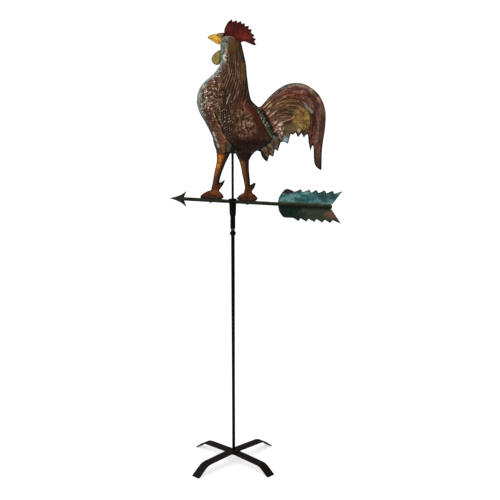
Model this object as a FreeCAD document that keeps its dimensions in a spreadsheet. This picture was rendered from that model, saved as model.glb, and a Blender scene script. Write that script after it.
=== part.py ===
import FreeCAD, Part
import math
import os
import Sketcher

# A garden-stand weather vane: a rooster of thin copper shells on an arrow that turns on a bearing
# spindle, carried by a pole on two crossed, bent flat bars.
# Frame: origin on the ground under the pole, +Z up. The arrow lies along X and points to -X, and
# the rooster's left side faces -Y. Millimetres and degrees.

DIMENSIONS = [
    # base: two flat bars crossed under the pole, their ends bent down into feet
    ("strap_width", 38),
    ("strap_thick", 5),
    ("strap_lower_mid", 37.5),
    ("strap_flat", 25),
    ("strap_droop", 2),
    ("strap_reach", 162),
    ("strap_bend_radius", 60),
    ("strap_foot_angle", 37.5),
    ("upper_strap_azimuth", 66),
    ("lower_strap_azimuth", 156),
    ("bolt_radius", 4),
    ("bolt_hole_radius", 4.2),
    ("bolt_head_circumradius", 7.5),
    ("bolt_head_height", 5.3),
    ("bolt_reach", 62),
    ("washer_radius", 11),
    ("washer_thick", 1.6),
    ("lock_washer_radius", 7),
    ("lock_washer_thick", 2),
    ("lock_washer_gap", 1.5),
    # pole and the bearing spindle on top of it
    ("pole_bottom", 45),
    ("pole_foot_radius", 6.2),
    ("pole_head_radius", 7.15),
    ("pole_taper_bottom", 340),
    ("pole_taper_top", 720),
    ("pole_top", 950),
    ("coupling_bottom", 936),
    ("coupling_belly", 945),
    ("coupling_belly_radius", 12.2),
    ("coupling_neck_radius", 7.3),
    ("coupling_top", 960.5),
    ("spindle_radius", 5),
    ("spindle_bottom", 922),
    ("spindle_top", 1033.9),
    ("ball_radius", 6),
    # rotating hub under the arrow bar
    ("sleeve_bottom", 962),
    ("sleeve_top", 1046),
    ("sleeve_radius", 10),
    ("sleeve_bore", 7),
    ("bush_bore", 5.05),
    ("bush_length", 16),
    ("bush_inset", 2),
    ("hub_bottom", 1015),
    ("hub_bottom_radius", 12.2),
    ("hub_top_radius", 14),
    ("hub_top", 1066),
    ("cap_radius", 16),
    ("cap_bottom", 1072),
    ("cap_top", 1079.5),
    ("set_screw_radius", 2.5),
    ("set_screw_length", 4.2),
    ("socket_circumradius", 1.45),
    ("socket_depth", 2),
    ("hub_screw_height", 1030),
    # support rod, arrow bar and its ends
    ("rod_radius", 4.7),
    ("rod_bottom", 1050),
    ("rod_top", 1490),
    ("bar_height", 1069),
    ("bar_radius", 7.2),
    ("bar_bore", 5.7),
    ("bar_front", -205),
    ("bar_back", 390),
    ("head_tip", -271),
    ("head_thick", 6),
    ("head_stub", 15),
    ("plug_length", 12),
    ("plug_flange", 3),
    ("fletching_thick", 1.6),
    ("fletching_root", 183),
    ("rivet_radius", 1.5),
    ("rivet_head_radius", 3),
    ("rivet_head_height", 1.2),
    # rooster
    ("shell_wall", 1.2),
    ("tube_radius", 6.5),
    ("tube_bottom", 1256),
    ("tube_plug", 6),
    ("beak_root", -32.2),
    ("skin_seam", 0.1),
    ("brace_thick", 1.5),
    ("brace_gap", 1.5),
    ("comb_thick", 5),
    ("wattle_thick", 13),
    ("tail_half_thick", 7),
    ("leg_wall", 2.5),
    ("under_tail_thick", 6),
    ("foot_thick", 24),
    ("spur_thick", 7),
    ("screw_radius", 2.5),
    ("screw_head_radius", 4.6),
    ("screw_head_height", 3),
    ("screw_top", 1092),
]

HEX_SIDES = 6

doc = FreeCAD.newDocument("weather_vane")
sheet = doc.addObject("Spreadsheet::Sheet", "dims")
for row, (alias, number) in enumerate(DIMENSIONS, start=1):
    sheet.set(f"A{row}", alias)
    sheet.set(f"B{row}", str(number))
    sheet.setAlias(f"B{row}", alias)
doc.recompute()

SUBPARTS = []


def size(alias):
    """A driving dimension's value, from the sheet."""
    return float(sheet.get(alias))


def keep(item):
    """Lists a finished piece, whose Label is its node's name."""
    SUBPARTS.append(item)
    return item


# ---- sketches and features -----------------------------------------------------------------

def new_body(label):
    body = doc.addObject("PartDesign::Body", label)
    body.Label = label
    return body


def plane_sketch(body, name, role, offset=None):
    """A sketch on one of the body's origin planes, moved along the plane's normal by offset."""
    sketch = body.newObject("Sketcher::SketchObject", name)
    plane = next(item for item in body.Origin.OriginFeatures if item.Role == role)
    sketch.AttachmentSupport = [(plane, "")]
    sketch.MapMode = "FlatFace"
    if isinstance(offset, str):
        sketch.setExpression("AttachmentOffset.Base.z", offset)
    elif offset is not None:
        sketch.AttachmentOffset.Base.z = offset
    return sketch


def tie(sketch, kind, edge, expression):
    """Binds a vertex's distance from the sketch's axes to an expression over the sheet."""
    value = sketch.evalExpression(expression)
    value = float(getattr(value, "Value", value))
    index = sketch.addConstraint(Sketcher.Constraint(kind, -1, 1, edge, 1, value))
    sketch.setExpression(f"Constraints[{index}]", expression)


def turned(label, profile):
    """A turned piece: the profile's (radius, height) corners are expressions over the sheet."""
    body = new_body(label)
    sketch = plane_sketch(body, label + "_profile", "XZ_Plane")
    corners = []
    for radius, height in profile:
        values = [sketch.evalExpression(text) for text in (radius, height)]
        x, y = (float(getattr(v, "Value", v)) for v in values)
        corners.append(FreeCAD.Vector(x, y, 0))
    count = len(corners)
    for i in range(count):
        sketch.addGeometry(Part.LineSegment(corners[i], corners[(i + 1) % count]), False)
    for i in range(count):
        sketch.addConstraint(Sketcher.Constraint("Coincident", i, 2, (i + 1) % count, 1))
    for i, (radius, height) in enumerate(profile):
        if radius == "0":
            sketch.addConstraint(Sketcher.Constraint("PointOnObject", i, 1, -2))
        else:
            tie(sketch, "DistanceX", i, radius)
        tie(sketch, "DistanceY", i, height)
    revolution = body.newObject("PartDesign::Revolution", label + "_turned")
    revolution.Profile = sketch
    revolution.ReferenceAxis = (sketch, ["V_Axis"])
    revolution.Angle = 360
    return body


def circle_sketch(body, name, role, centre, radius, offset=None):
    """A circle whose centre is two expressions and whose radius is one."""
    sketch = plane_sketch(body, name, role, offset)
    sketch.addGeometry(Part.Circle(FreeCAD.Vector(1, 1, 0), FreeCAD.Vector(0, 0, 1), 1), False)
    for kind, expression in zip(("DistanceX", "DistanceY"), centre):
        if expression == "0":
            line = -2 if kind == "DistanceX" else -1
            sketch.addConstraint(Sketcher.Constraint("PointOnObject", 0, 3, line))
            continue
        index = sketch.addConstraint(Sketcher.Constraint(kind, -1, 1, 0, 3, 1.0))
        sketch.setExpression(f"Constraints[{index}]", expression)
    index = sketch.addConstraint(Sketcher.Constraint("Radius", 0, 1.0))
    sketch.setExpression(f"Constraints[{index}]", radius)
    return sketch


def cut_through(body, sketch):
    """A hole right through the body, both ways from the sketch."""
    pocket = body.newObject("PartDesign::Pocket", sketch.Name + "_cut")
    pocket.Profile = sketch
    pocket.Type = "ThroughAll"
    pocket.SideType = "Symmetric"
    return pocket


def outline_sketch(body, name, runs):
    """A closed XZ outline of runs, each ("line" or "curve", its points), joined end to end."""
    sketch = plane_sketch(body, name, "XZ_Plane")
    last = None
    first = None
    for kind, points in runs:
        vectors = [FreeCAD.Vector(x, y, 0) for x, y in points]
        if last is not None and last.distanceToPoint(vectors[0]) > 1e-6:
            vectors.insert(0, last)
        if kind == "curve":
            spline = Part.BSplineCurve()
            spline.interpolate(vectors)
            sketch.addGeometry(spline, False)
        else:
            for start, end in zip(vectors, vectors[1:]):
                sketch.addGeometry(Part.LineSegment(start, end), False)
        first = first or vectors[0]
        last = vectors[-1]
    if last.distanceToPoint(first) > 1e-6:
        sketch.addGeometry(Part.LineSegment(last, first), False)
    return sketch


def block_outline(body, name, low, high):
    """A rectangle on the XZ plane between two opposite (x, z) corners."""
    corners = [low, (high[0], low[1]), high, (low[0], high[1])]
    return outline_sketch(body, name, [("line", corners)])


def pad(body, sketch, length, side="Symmetric", reverse=False):
    """A pad of the sketch; on an XZ sketch one side goes to -Y, or to +Y when reversed."""
    feature = body.newObject("PartDesign::Pad", sketch.Name + "_pad")
    feature.Profile = sketch
    feature.SideType = side
    feature.Reversed = reverse
    feature.setExpression("Length", length)
    return feature


def ellipse(start, end, half_width, centre_y=0.0):
    """A level ellipse from x = start to x = end, half_width to each side of centre_y."""
    half_length = (end - start) / 2
    centre = FreeCAD.Vector((start + end) / 2, centre_y, 0)
    along = centre + FreeCAD.Vector(half_length, 0, 0)
    across = centre + FreeCAD.Vector(0, half_width, 0)
    if half_length >= half_width:
        return Part.Ellipse(along, across, centre)
    return Part.Ellipse(across, along, centre)


def level_loft(body, name, kind, stations):
    """A loft through level ellipses given as (height, start, end, half width, centre y)."""
    sketches = []
    for i, (height, start, end, half_width, centre_y) in enumerate(stations):
        sketch = plane_sketch(body, f"{name}_{i}", "XY_Plane", height)
        sketch.addGeometry(ellipse(start, end, half_width, centre_y), False)
        sketches.append(sketch)
    loft = body.newObject("PartDesign::" + kind, name)
    loft.Profile = sketches[0]
    loft.Sections = sketches[1:]
    return loft


# ---- base ------------------------------------------------------------------------------------

def strap_outline(middle):
    """Side outline of a bent flat bar whose mid-plane crosses the pole at this height."""
    droop = math.radians(size("strap_droop"))
    dip = math.radians(size("strap_foot_angle"))
    flat = size("strap_flat")
    reach = size("strap_reach")
    radius = size("strap_bend_radius")
    corner = FreeCAD.Vector(reach, middle - (reach - flat) * math.tan(droop), 0)
    arm = FreeCAD.Vector(math.cos(droop), -math.sin(droop), 0)
    foot = FreeCAD.Vector(math.cos(dip), -math.sin(dip), 0)
    setback = radius * math.tan((dip - droop) / 2)
    bend_start = corner - arm * setback
    bend_end = corner + foot * setback
    up_arm = FreeCAD.Vector(math.sin(droop), math.cos(droop), 0)
    up_foot = FreeCAD.Vector(math.sin(dip), math.cos(dip), 0)
    up_middle = FreeCAD.Vector(math.sin((droop + dip) / 2), math.cos((droop + dip) / 2), 0)
    centre = bend_start - up_arm * radius
    sides = []
    for shift in (size("strap_thick") / 2, -size("strap_thick") / 2):
        knee = FreeCAD.Vector(flat + shift * math.tan(droop / 2), middle + shift, 0)
        start = bend_start + up_arm * shift
        end = bend_end + up_foot * shift
        ground = end + foot * (end.y / math.sin(dip))
        sides.append((knee, start, centre + up_middle * (radius + shift), end, ground))
    return sides


def mirrored(point):
    return FreeCAD.Vector(-point.x, point.y, 0)


def base_strap(label, middle, azimuth):
    """A flat bar bent down at both ends, its feet ground flat to stand, bored for the bolt."""
    body = new_body(label)
    sketch = plane_sketch(body, label + "_side", "XZ_Plane")
    sides = strap_outline(middle)
    for knee, start, crown, end, ground in sides:
        sketch.addGeometry(Part.LineSegment(mirrored(knee), knee), False)
        for place in (lambda point: point, mirrored):
            sketch.addGeometry(Part.LineSegment(place(knee), place(start)), False)
            sketch.addGeometry(Part.Arc(place(start), place(crown), place(end)), False)
            sketch.addGeometry(Part.LineSegment(place(end), place(ground)), False)
    outer, inner = sides[0][-1], sides[1][-1]
    sketch.addGeometry(Part.LineSegment(outer, inner), False)
    sketch.addGeometry(Part.LineSegment(mirrored(outer), mirrored(inner)), False)
    pad(body, sketch, "dims.strap_width")
    hole = circle_sketch(body, label + "_hole", "XY_Plane", ("0", "0"), "dims.bolt_hole_radius")
    cut_through(body, hole)
    body.setExpression("Placement.Rotation.Angle", azimuth)
    return keep(body)


def base():
    thick = size("strap_thick")
    middle = size("strap_lower_mid")
    base_strap("base_strap_lower", middle, "dims.lower_strap_azimuth")
    base_strap("base_strap_upper", middle + thick, "dims.upper_strap_azimuth")

    under = "dims.strap_lower_mid - dims.strap_thick / 2"
    washer_low = under + " - dims.washer_thick"
    lock_low = washer_low + " - dims.lock_washer_thick"
    keep(turned("base_washer", [
        ("dims.bolt_hole_radius", washer_low),
        ("dims.washer_radius", washer_low),
        ("dims.washer_radius", under),
        ("dims.bolt_hole_radius", under),
    ]))
    lock = keep(turned("base_lock_washer", [
        ("dims.bolt_hole_radius", lock_low),
        ("dims.lock_washer_radius", lock_low),
        ("dims.lock_washer_radius", washer_low),
        ("dims.bolt_hole_radius", washer_low),
    ]))
    inside = size("bolt_radius") - 1
    outside = size("lock_washer_radius") + 1
    split = block_outline(lock, "lock_washer_split", (inside, 0), (outside, middle))
    gap = lock.newObject("PartDesign::Pocket", "lock_washer_gap")
    gap.Profile = split
    gap.SideType = "Symmetric"
    gap.setExpression("Length", "dims.lock_washer_gap")

    shank = doc.addObject("Part::Cylinder", "bolt_shank")
    shank.setExpression("Radius", "dims.bolt_radius")
    shank.setExpression("Height", "dims.bolt_reach - (" + lock_low + ")")
    shank.setExpression("Placement.Base.z", lock_low)
    head = doc.addObject("Part::Prism", "bolt_head")
    head.Polygon = HEX_SIDES
    head.setExpression("Circumradius", "dims.bolt_head_circumradius")
    head.setExpression("Height", "dims.bolt_head_height")
    head.setExpression("Placement.Base.z", lock_low + " - dims.bolt_head_height")
    bolt = doc.addObject("Part::Fuse", "base_bolt")
    bolt.Label = "base_bolt"
    bolt.Base = shank
    bolt.Tool = head
    keep(bolt)


# ---- pole, coupling and spindle --------------------------------------------------------------

def radial_screw_hole(body, name, height):
    """A tapped hole for a set screw in the -Y side, as deep as the body's axis."""
    sketch = circle_sketch(body, name, "XZ_Plane", ("0", height), "dims.set_screw_radius")
    hole = body.newObject("PartDesign::Pocket", name + "_cut")
    hole.Profile = sketch
    hole.Type = "ThroughAll"
    hole.Reversed = True
    return hole


def set_screw(label, outside, height):
    """A socket set screw: its outer end lies at outside on the -Y side."""
    body = new_body(label)
    sketch = circle_sketch(body, label + "_round", "XZ_Plane", ("0", height),
                           "dims.set_screw_radius", outside + " - dims.set_screw_length")
    pad(body, sketch, "dims.set_screw_length", side="One side")
    socket = plane_sketch(body, label + "_socket", "XZ_Plane", outside)
    middle = float(sheet.evalExpression(height))
    across = size("socket_circumradius")
    corners = []
    for k in range(HEX_SIDES):
        turn = 2 * math.pi * k / HEX_SIDES
        corner = FreeCAD.Vector(across * math.cos(turn), middle + across * math.sin(turn), 0)
        corners.append(corner)
    for start, end in zip(corners, corners[1:] + corners[:1]):
        socket.addGeometry(Part.LineSegment(start, end), False)
    recess = body.newObject("PartDesign::Pocket", label + "_recess")
    recess.Profile = socket
    recess.setExpression("Length", "dims.socket_depth")
    return keep(body)


def mast():
    keep(turned("pole", [
        ("dims.bolt_radius", "dims.pole_bottom"),
        ("dims.pole_foot_radius", "dims.pole_bottom"),
        ("dims.pole_foot_radius", "dims.pole_taper_bottom"),
        ("dims.pole_head_radius", "dims.pole_taper_top"),
        ("dims.pole_head_radius", "dims.pole_top"),
        ("dims.spindle_radius", "dims.pole_top"),
        ("dims.spindle_radius", "dims.spindle_bottom"),
        ("0", "dims.spindle_bottom"),
        ("0", "dims.bolt_reach"),
        ("dims.bolt_radius", "dims.bolt_reach"),
    ]))
    coupling = keep(turned("pole_coupling", [
        ("dims.pole_head_radius", "dims.coupling_bottom"),
        ("dims.pole_head_radius + 1", "dims.coupling_bottom"),
        ("dims.coupling_belly_radius - 0.8", "dims.coupling_belly - 3.5"),
        ("dims.coupling_belly_radius", "dims.coupling_belly - 1.2"),
        ("dims.coupling_belly_radius", "dims.coupling_belly + 1.2"),
        ("dims.coupling_belly_radius - 0.8", "dims.coupling_belly + 3.5"),
        ("dims.coupling_neck_radius", "dims.coupling_belly + 9"),
        ("dims.coupling_neck_radius", "dims.coupling_top"),
        ("dims.spindle_radius", "dims.coupling_top"),
        ("dims.spindle_radius", "dims.pole_top"),
        ("dims.pole_head_radius", "dims.pole_top"),
    ]))
    radial_screw_hole(coupling, "coupling_screw_hole", "dims.coupling_belly")
    set_screw("coupling_set_screw", "dims.coupling_belly_radius - 0.3", "dims.coupling_belly")
    keep(turned("spindle", [
        ("0", "dims.spindle_bottom"),
        ("dims.spindle_radius", "dims.spindle_bottom"),
        ("dims.spindle_radius", "dims.spindle_top - 1"),
        ("dims.spindle_radius - 1", "dims.spindle_top"),
        ("0", "dims.spindle_top"),
    ]))
    ball = doc.addObject("Part::Sphere", "thrust_ball")
    ball.Label = "thrust_ball"
    ball.setExpression("Radius", "dims.ball_radius")
    ball.setExpression("Placement.Base.z", "dims.spindle_top + dims.ball_radius")
    keep(ball)


# ---- rotating hub ------------------------------------------------------------------------------

def bar_saddle(body, name):
    """Hollows the body to seat the round arrow bar that crosses it along X."""
    seat = circle_sketch(body, name, "YZ_Plane", ("0", "dims.bar_height"), "dims.bar_radius")
    cut_through(body, seat)


def bush(label, low):
    high = low + " + dims.bush_length"
    return keep(turned(label, [
        ("dims.bush_bore", low),
        ("dims.sleeve_bore", low),
        ("dims.sleeve_bore", high),
        ("dims.bush_bore", high),
    ]))


def rotor_hub():
    keep(turned("bearing_sleeve", [
        ("dims.sleeve_bore", "dims.sleeve_bottom"),
        ("dims.sleeve_radius - 1.2", "dims.sleeve_bottom"),
        ("dims.sleeve_radius", "dims.sleeve_bottom + 2.5"),
        ("dims.sleeve_radius", "dims.sleeve_top"),
        ("dims.sleeve_bore", "dims.sleeve_top"),
    ]))
    bush("lower_bush", "dims.sleeve_bottom + dims.bush_inset")
    bush("upper_bush", "dims.spindle_top - dims.bush_inset - dims.bush_length")
    hub = keep(turned("hub", [
        ("dims.sleeve_radius", "dims.hub_bottom"),
        ("dims.hub_bottom_radius", "dims.hub_bottom"),
        ("dims.hub_top_radius", "dims.bar_height - dims.bar_radius"),
        ("dims.hub_top_radius", "dims.hub_top"),
        ("dims.rod_radius", "dims.hub_top"),
        ("dims.rod_radius", "dims.rod_bottom"),
        ("0", "dims.rod_bottom"),
        ("0", "dims.sleeve_top"),
        ("dims.sleeve_radius", "dims.sleeve_top"),
    ]))
    bar_saddle(hub, "hub_saddle")
    radial_screw_hole(hub, "hub_screw_hole", "dims.hub_screw_height")
    set_screw("hub_set_screw", "dims.hub_top_radius + 0.2", "dims.hub_screw_height")
    cap = keep(turned("hub_cap", [
        ("dims.rod_radius", "dims.cap_bottom"),
        ("dims.cap_radius", "dims.cap_bottom"),
        ("dims.cap_radius", "dims.cap_top - 1.5"),
        ("dims.cap_radius - 2", "dims.cap_top"),
        ("dims.rod_radius", "dims.cap_top"),
    ]))
    bar_saddle(cap, "cap_saddle")
    keep(turned("support_rod", [
        ("0", "dims.rod_bottom"),
        ("dims.rod_radius", "dims.rod_bottom"),
        ("dims.rod_radius", "dims.rod_top"),
        ("0", "dims.rod_top"),
    ]))


# ---- arrow ---------------------------------------------------------------------------------------

# A tooth of the fletching rises slowly to its tip and drops steeply behind it: tip and valley x.
UPPER_TEETH = [(273, 280), (306, 313), (333, 341), (365, 372), (395, 402)]
LOWER_TEETH = [(265, 273), (296, 304), (327, 335), (358, 367), (388, 397)]
TOOTH_TIP = 61
TOOTH_VALLEY = 50
UPPER_HUMP = [(186, 22), (199, 45), (215, 59), (232, 57), (248, TOOTH_VALLEY)]
LOWER_HUMP = [(187, 24), (196, 40), (209, 50), (244, TOOTH_VALLEY)]
UPPER_END = [(433, 61), (398, 14)]
LOWER_END = [(429, 61), (396, 14)]
NOTCH_RISE = 7.5
RIVET_PLACES = (206, 290, 374)
FRONT_FOOT_SCREW = -92
REAR_FOOT_SCREW = 60


def fletching_edge(side, hump, teeth, end):
    """Top (side 1) or bottom (side -1) edge of the fletching, from root to tail."""
    level = size("bar_height")
    back = size("bar_back")
    front = [(size("fletching_root"), 0)] + hump
    points = []
    for tip, valley in teeth:
        points.append((tip, TOOTH_TIP))
        points.append((valley, TOOTH_VALLEY))
    points += end + [(back, NOTCH_RISE), (back, 0)]
    runs = []
    for kind, run in (("curve", front), ("line", points)):
        runs.append((kind, [(x, level + side * rise) for x, rise in run]))
    return runs


def fletching():
    """One flat sheet through the slotted bar, notched like a feather above and below."""
    body = new_body("fletching")
    upper = fletching_edge(1, UPPER_HUMP, UPPER_TEETH, UPPER_END)
    lower = fletching_edge(-1, LOWER_HUMP, LOWER_TEETH, LOWER_END)
    lower_back = [(kind, points[::-1]) for kind, points in reversed(lower)]
    sheet_outline = outline_sketch(body, "fletching_outline", upper + lower_back)
    pad(body, sheet_outline, "dims.fletching_thick")
    for i, place in enumerate(RIVET_PLACES):
        hole = circle_sketch(body, f"fletching_hole_{i}", "XZ_Plane", (str(place),
                             "dims.bar_height"), "dims.rivet_radius")
        cut_through(body, hole)
    return keep(body)


def rivets():
    """Three rivets across the bar and the fletching sheet, a button head on each side."""
    reach = size("bar_radius")
    pieces = []
    for place in RIVET_PLACES:
        profile = [(0, reach + size("rivet_head_height")),
                   (size("rivet_head_radius") * 0.7, reach + size("rivet_head_height") * 0.8),
                   (size("rivet_head_radius"), reach - 0.6),
                   (size("rivet_radius"), reach - 0.6)]
        points = profile + [(r, -y) for r, y in reversed(profile)]
        ring = [FreeCAD.Vector(r, y, 0) for r, y in points]
        face = Part.Face(Part.makePolygon(ring + [ring[0]]))
        rivet = face.revolve(FreeCAD.Vector(0, 0, 0), FreeCAD.Vector(0, 1, 0), 360)
        rivet.translate(FreeCAD.Vector(place, 0, size("bar_height")))
        pieces.append(rivet)
    group = doc.addObject("Part::Feature", "fletching_rivets")
    group.Label = "fletching_rivets"
    group.Shape = Part.makeCompound(pieces)
    return keep(group)


def arrow_bar():
    """A round tube, slotted for the fletching and cross-drilled for rod, rivets and screws."""
    body = new_body("arrow_bar")
    ring = circle_sketch(body, "bar_round", "YZ_Plane", ("0", "dims.bar_height"),
                         "dims.bar_radius", "dims.bar_front")
    pad(body, ring, "dims.bar_back - dims.bar_front", side="One side")
    bore = circle_sketch(body, "bar_hollow", "YZ_Plane", ("0", "dims.bar_height"),
                         "dims.bar_bore")
    cut_through(body, bore)
    rod_hole = circle_sketch(body, "bar_rod_hole", "XY_Plane", ("0", "0"), "dims.rod_radius")
    cut_through(body, rod_hole)
    for i, place in enumerate((FRONT_FOOT_SCREW, REAR_FOOT_SCREW)):
        hole = circle_sketch(body, f"bar_screw_hole_{i}", "XY_Plane", (str(place), "0"),
                             "dims.screw_radius")
        cut_through(body, hole)
    for i, place in enumerate(RIVET_PLACES):
        hole = circle_sketch(body, f"bar_rivet_hole_{i}", "XZ_Plane", (str(place),
                             "dims.bar_height"), "dims.rivet_head_radius")
        cut_through(body, hole)
    low = size("bar_height") - 2 * size("bar_radius")
    high = size("bar_height") + 2 * size("bar_radius")
    slot = block_outline(body, "bar_slot", (size("fletching_root"), low),
                         (size("bar_back") + 1, high))
    cut = body.newObject("PartDesign::Pocket", "bar_slot_cut")
    cut.Profile = slot
    cut.SideType = "Symmetric"
    cut.setExpression("Length", "dims.fletching_thick")
    return keep(body)


def arrowhead():
    """A barbed head: a flat blade round a tapering core, with a stub into the bar's bore."""
    level = size("bar_height")
    tip = size("head_tip")
    reach = size("bar_radius")
    inner = size("bar_bore")
    front = size("bar_front")
    body = new_body("arrowhead")
    blade = outline_sketch(body, "head_blade", [
        ("curve", [(tip, level), (-245, level + 6), (-216, level + 17), (-193, level + 33)]),
        ("curve", [(-193, level + 33), (-199, level + 20), (front, level + reach)]),
        ("line", [(front, level + reach), (front, level - reach)]),
        ("curve", [(front, level - reach), (-199, level - 20), (-195, level - 33)]),
        ("curve", [(-195, level - 33), (-216, level - 17), (-245, level - 6), (tip, level)]),
    ])
    pad(body, blade, "dims.head_thick")
    core = plane_sketch(body, "head_core", "XZ_Plane")
    corners = [(tip + 2, level), (front - 40, level + 4), (front, level + reach),
               (front, level + inner), (front + size("head_stub"), level + inner),
               (front + size("head_stub"), level)]
    for start, end in zip(corners, corners[1:] + corners[:1]):
        line = Part.LineSegment(FreeCAD.Vector(*start, 0), FreeCAD.Vector(*end, 0))
        core.addGeometry(line, False)
    centre_line = Part.LineSegment(FreeCAD.Vector(*corners[0], 0), FreeCAD.Vector(*corners[-1], 0))
    core.addGeometry(centre_line, True)
    spun = body.newObject("PartDesign::Revolution", "head_spun")
    spun.Profile = core
    spun.ReferenceAxis = (core, ["Axis0"])
    spun.Angle = 360
    return keep(body)


def bar_plug():
    """The plug that closes the bar's back end."""
    body = new_body("bar_end_plug")
    shank = circle_sketch(body, "plug_shank", "YZ_Plane", ("0", "dims.bar_height"),
                          "dims.bar_bore", "dims.bar_back - dims.plug_length")
    pad(body, shank, "dims.plug_length", side="One side")
    flange = circle_sketch(body, "plug_flange_round", "YZ_Plane", ("0", "dims.bar_height"),
                           "dims.bar_radius", "dims.bar_back")
    pad(body, flange, "dims.plug_flange", side="One side")
    back = size("bar_back")
    level = size("bar_height")
    reach = size("bar_radius")
    slot = block_outline(body, "plug_slot", (back - 2 * size("plug_length"), level - reach),
                         (back, level + reach))
    cut = body.newObject("PartDesign::Pocket", "plug_slot_cut")
    cut.Profile = slot
    cut.SideType = "Symmetric"
    cut.setExpression("Length", "dims.fletching_thick")
    return keep(body)


# ---- rooster ---------------------------------------------------------------------------------------

# Level ellipses of the body, from belly to crown: height, breast x, back x, half width.
BODY_STATIONS = [
    (1262, -64, 90, 27),
    (1275, -67, 116, 33),
    (1295, -74, 148, 41),
    (1320, -84, 164, 48),
    (1345, -96, 161, 53),
    (1375, -113, 146, 57),
    (1405, -132, 129, 60),
    (1434, -141, 98, 60),
    (1455, -142, 75, 58),
    (1490, -135, 66, 53),
    (1520, -112, 61, 47),
    (1547, -78, 57, 40),
    (1570, -56, 55, 36),
    (1595, -45, 52, 33),
    (1640, -45, 41, 30),
    (1665, -44, 34, 26),
    (1683, -40, 14, 17),
    (1688, -34, 0, 10),
]

# The block that takes one half of the body away reaches past it on every side.
SPLIT_REACH = 300
SPLIT_TOP = 1800

# Level ellipses of the legs: height, front x, back x, half width, centre y.
FRONT_LEG_STATIONS = [
    (1262, -68, -20, 19, -13),
    (1245, -64, -23, 16, -12),
    (1228, -64, -28, 14, -10),
    (1205, -67, -36, 12, -8),
    (1168, -75, -51, 10.5, -5),
    (1135, -82, -56, 10.5, -2),
    (1110, -90, -57, 11, 0),
    (1092, -98, -54, 11.5, 0),
]
REAR_LEG_STATIONS = [
    (1262, 16, 90, 19, 13),
    (1250, 17, 74, 17, 12),
    (1228, 29, 66, 14, 10),
    (1205, 34, 65, 12, 8),
    (1168, 43, 67, 10.5, 5),
    (1135, 51, 71, 10.5, 2),
    (1110, 50, 77, 11, 0),
    (1092, 40, 84, 11.5, 0),
]


def half_shell(label, keep_right):
    """Half of the hollow body, split on the plane Y = 0."""
    wall = size("shell_wall")
    body = new_body(label)
    outer = [(z, front, back, half, 0.0) for z, front, back, half in BODY_STATIONS]
    level_loft(body, label + "_outside", "AdditiveLoft", outer)
    inner = []
    for i, (z, front, back, half) in enumerate(BODY_STATIONS):
        if i == 0:
            z += wall
        if i == len(BODY_STATIONS) - 1:
            z -= wall
        inner.append((z, front + wall, back - wall, half - wall, 0.0))
    level_loft(body, label + "_inside", "SubtractiveLoft", inner)
    tube_hole = circle_sketch(body, label + "_tube_hole", "XY_Plane", ("0", "0"),
                              "dims.tube_radius", BODY_STATIONS[0][0] - 5)
    hole = body.newObject("PartDesign::Pocket", label + "_tube_cut")
    hole.Profile = tube_hole
    hole.Reversed = True
    hole.setExpression("Length", "dims.tube_radius * 2")
    block = block_outline(body, label + "_other_half", (-SPLIT_REACH, 0), (SPLIT_REACH, SPLIT_TOP))
    cut = body.newObject("PartDesign::Pocket", label + "_split")
    cut.Profile = block
    cut.Type = "ThroughAll"
    cut.Reversed = keep_right
    return keep(body)


def trim_to_skin(body, name):
    """Takes away what reaches into the rooster's body, so that the piece meets its skin."""
    seam = size("skin_seam")
    skin = []
    for z, front, back, half in BODY_STATIONS:
        skin.append((z, front - seam, back + seam, half + seam, 0.0))
    level_loft(body, name, "SubtractiveLoft", skin)


def brace(label, station):
    """An oval plate that ties the socket tube to the shells at one of the body's stations."""
    z, front, back, half = BODY_STATIONS[station]
    inset = size("shell_wall") + size("brace_gap")
    body = new_body(label)
    plate = plane_sketch(body, label + "_oval", "XY_Plane", z)
    plate.addGeometry(ellipse(front + inset, back - inset, half - inset), False)
    pad(body, plate, "dims.brace_thick")
    cut_through(body, circle_sketch(body, label + "_hole", "XY_Plane", ("0", "0"),
                                    "dims.tube_radius"))
    return keep(body)


def socket():
    """The tube inside the body that drops over the support rod, and its braces."""
    keep(turned("socket_tube", [
        ("dims.rod_radius", "dims.tube_bottom"),
        ("dims.tube_radius", "dims.tube_bottom"),
        ("dims.tube_radius", "dims.rod_top"),
        ("dims.rod_radius", "dims.rod_top"),
    ]))
    keep(turned("socket_plug", [
        ("0", "dims.rod_top"),
        ("dims.tube_radius", "dims.rod_top"),
        ("dims.tube_radius", "dims.rod_top + dims.tube_plug"),
        ("0", "dims.rod_top + dims.tube_plug"),
    ]))
    brace("lower_brace", 3)
    brace("upper_brace", 8)


def flat_piece(label, runs, thick):
    """A flat piece on the mid-plane, half its thickness to each side, soldered to the body."""
    body = new_body(label)
    pad(body, outline_sketch(body, label + "_outline", runs), thick)
    trim_to_skin(body, label + "_seat")
    return keep(body)


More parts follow.
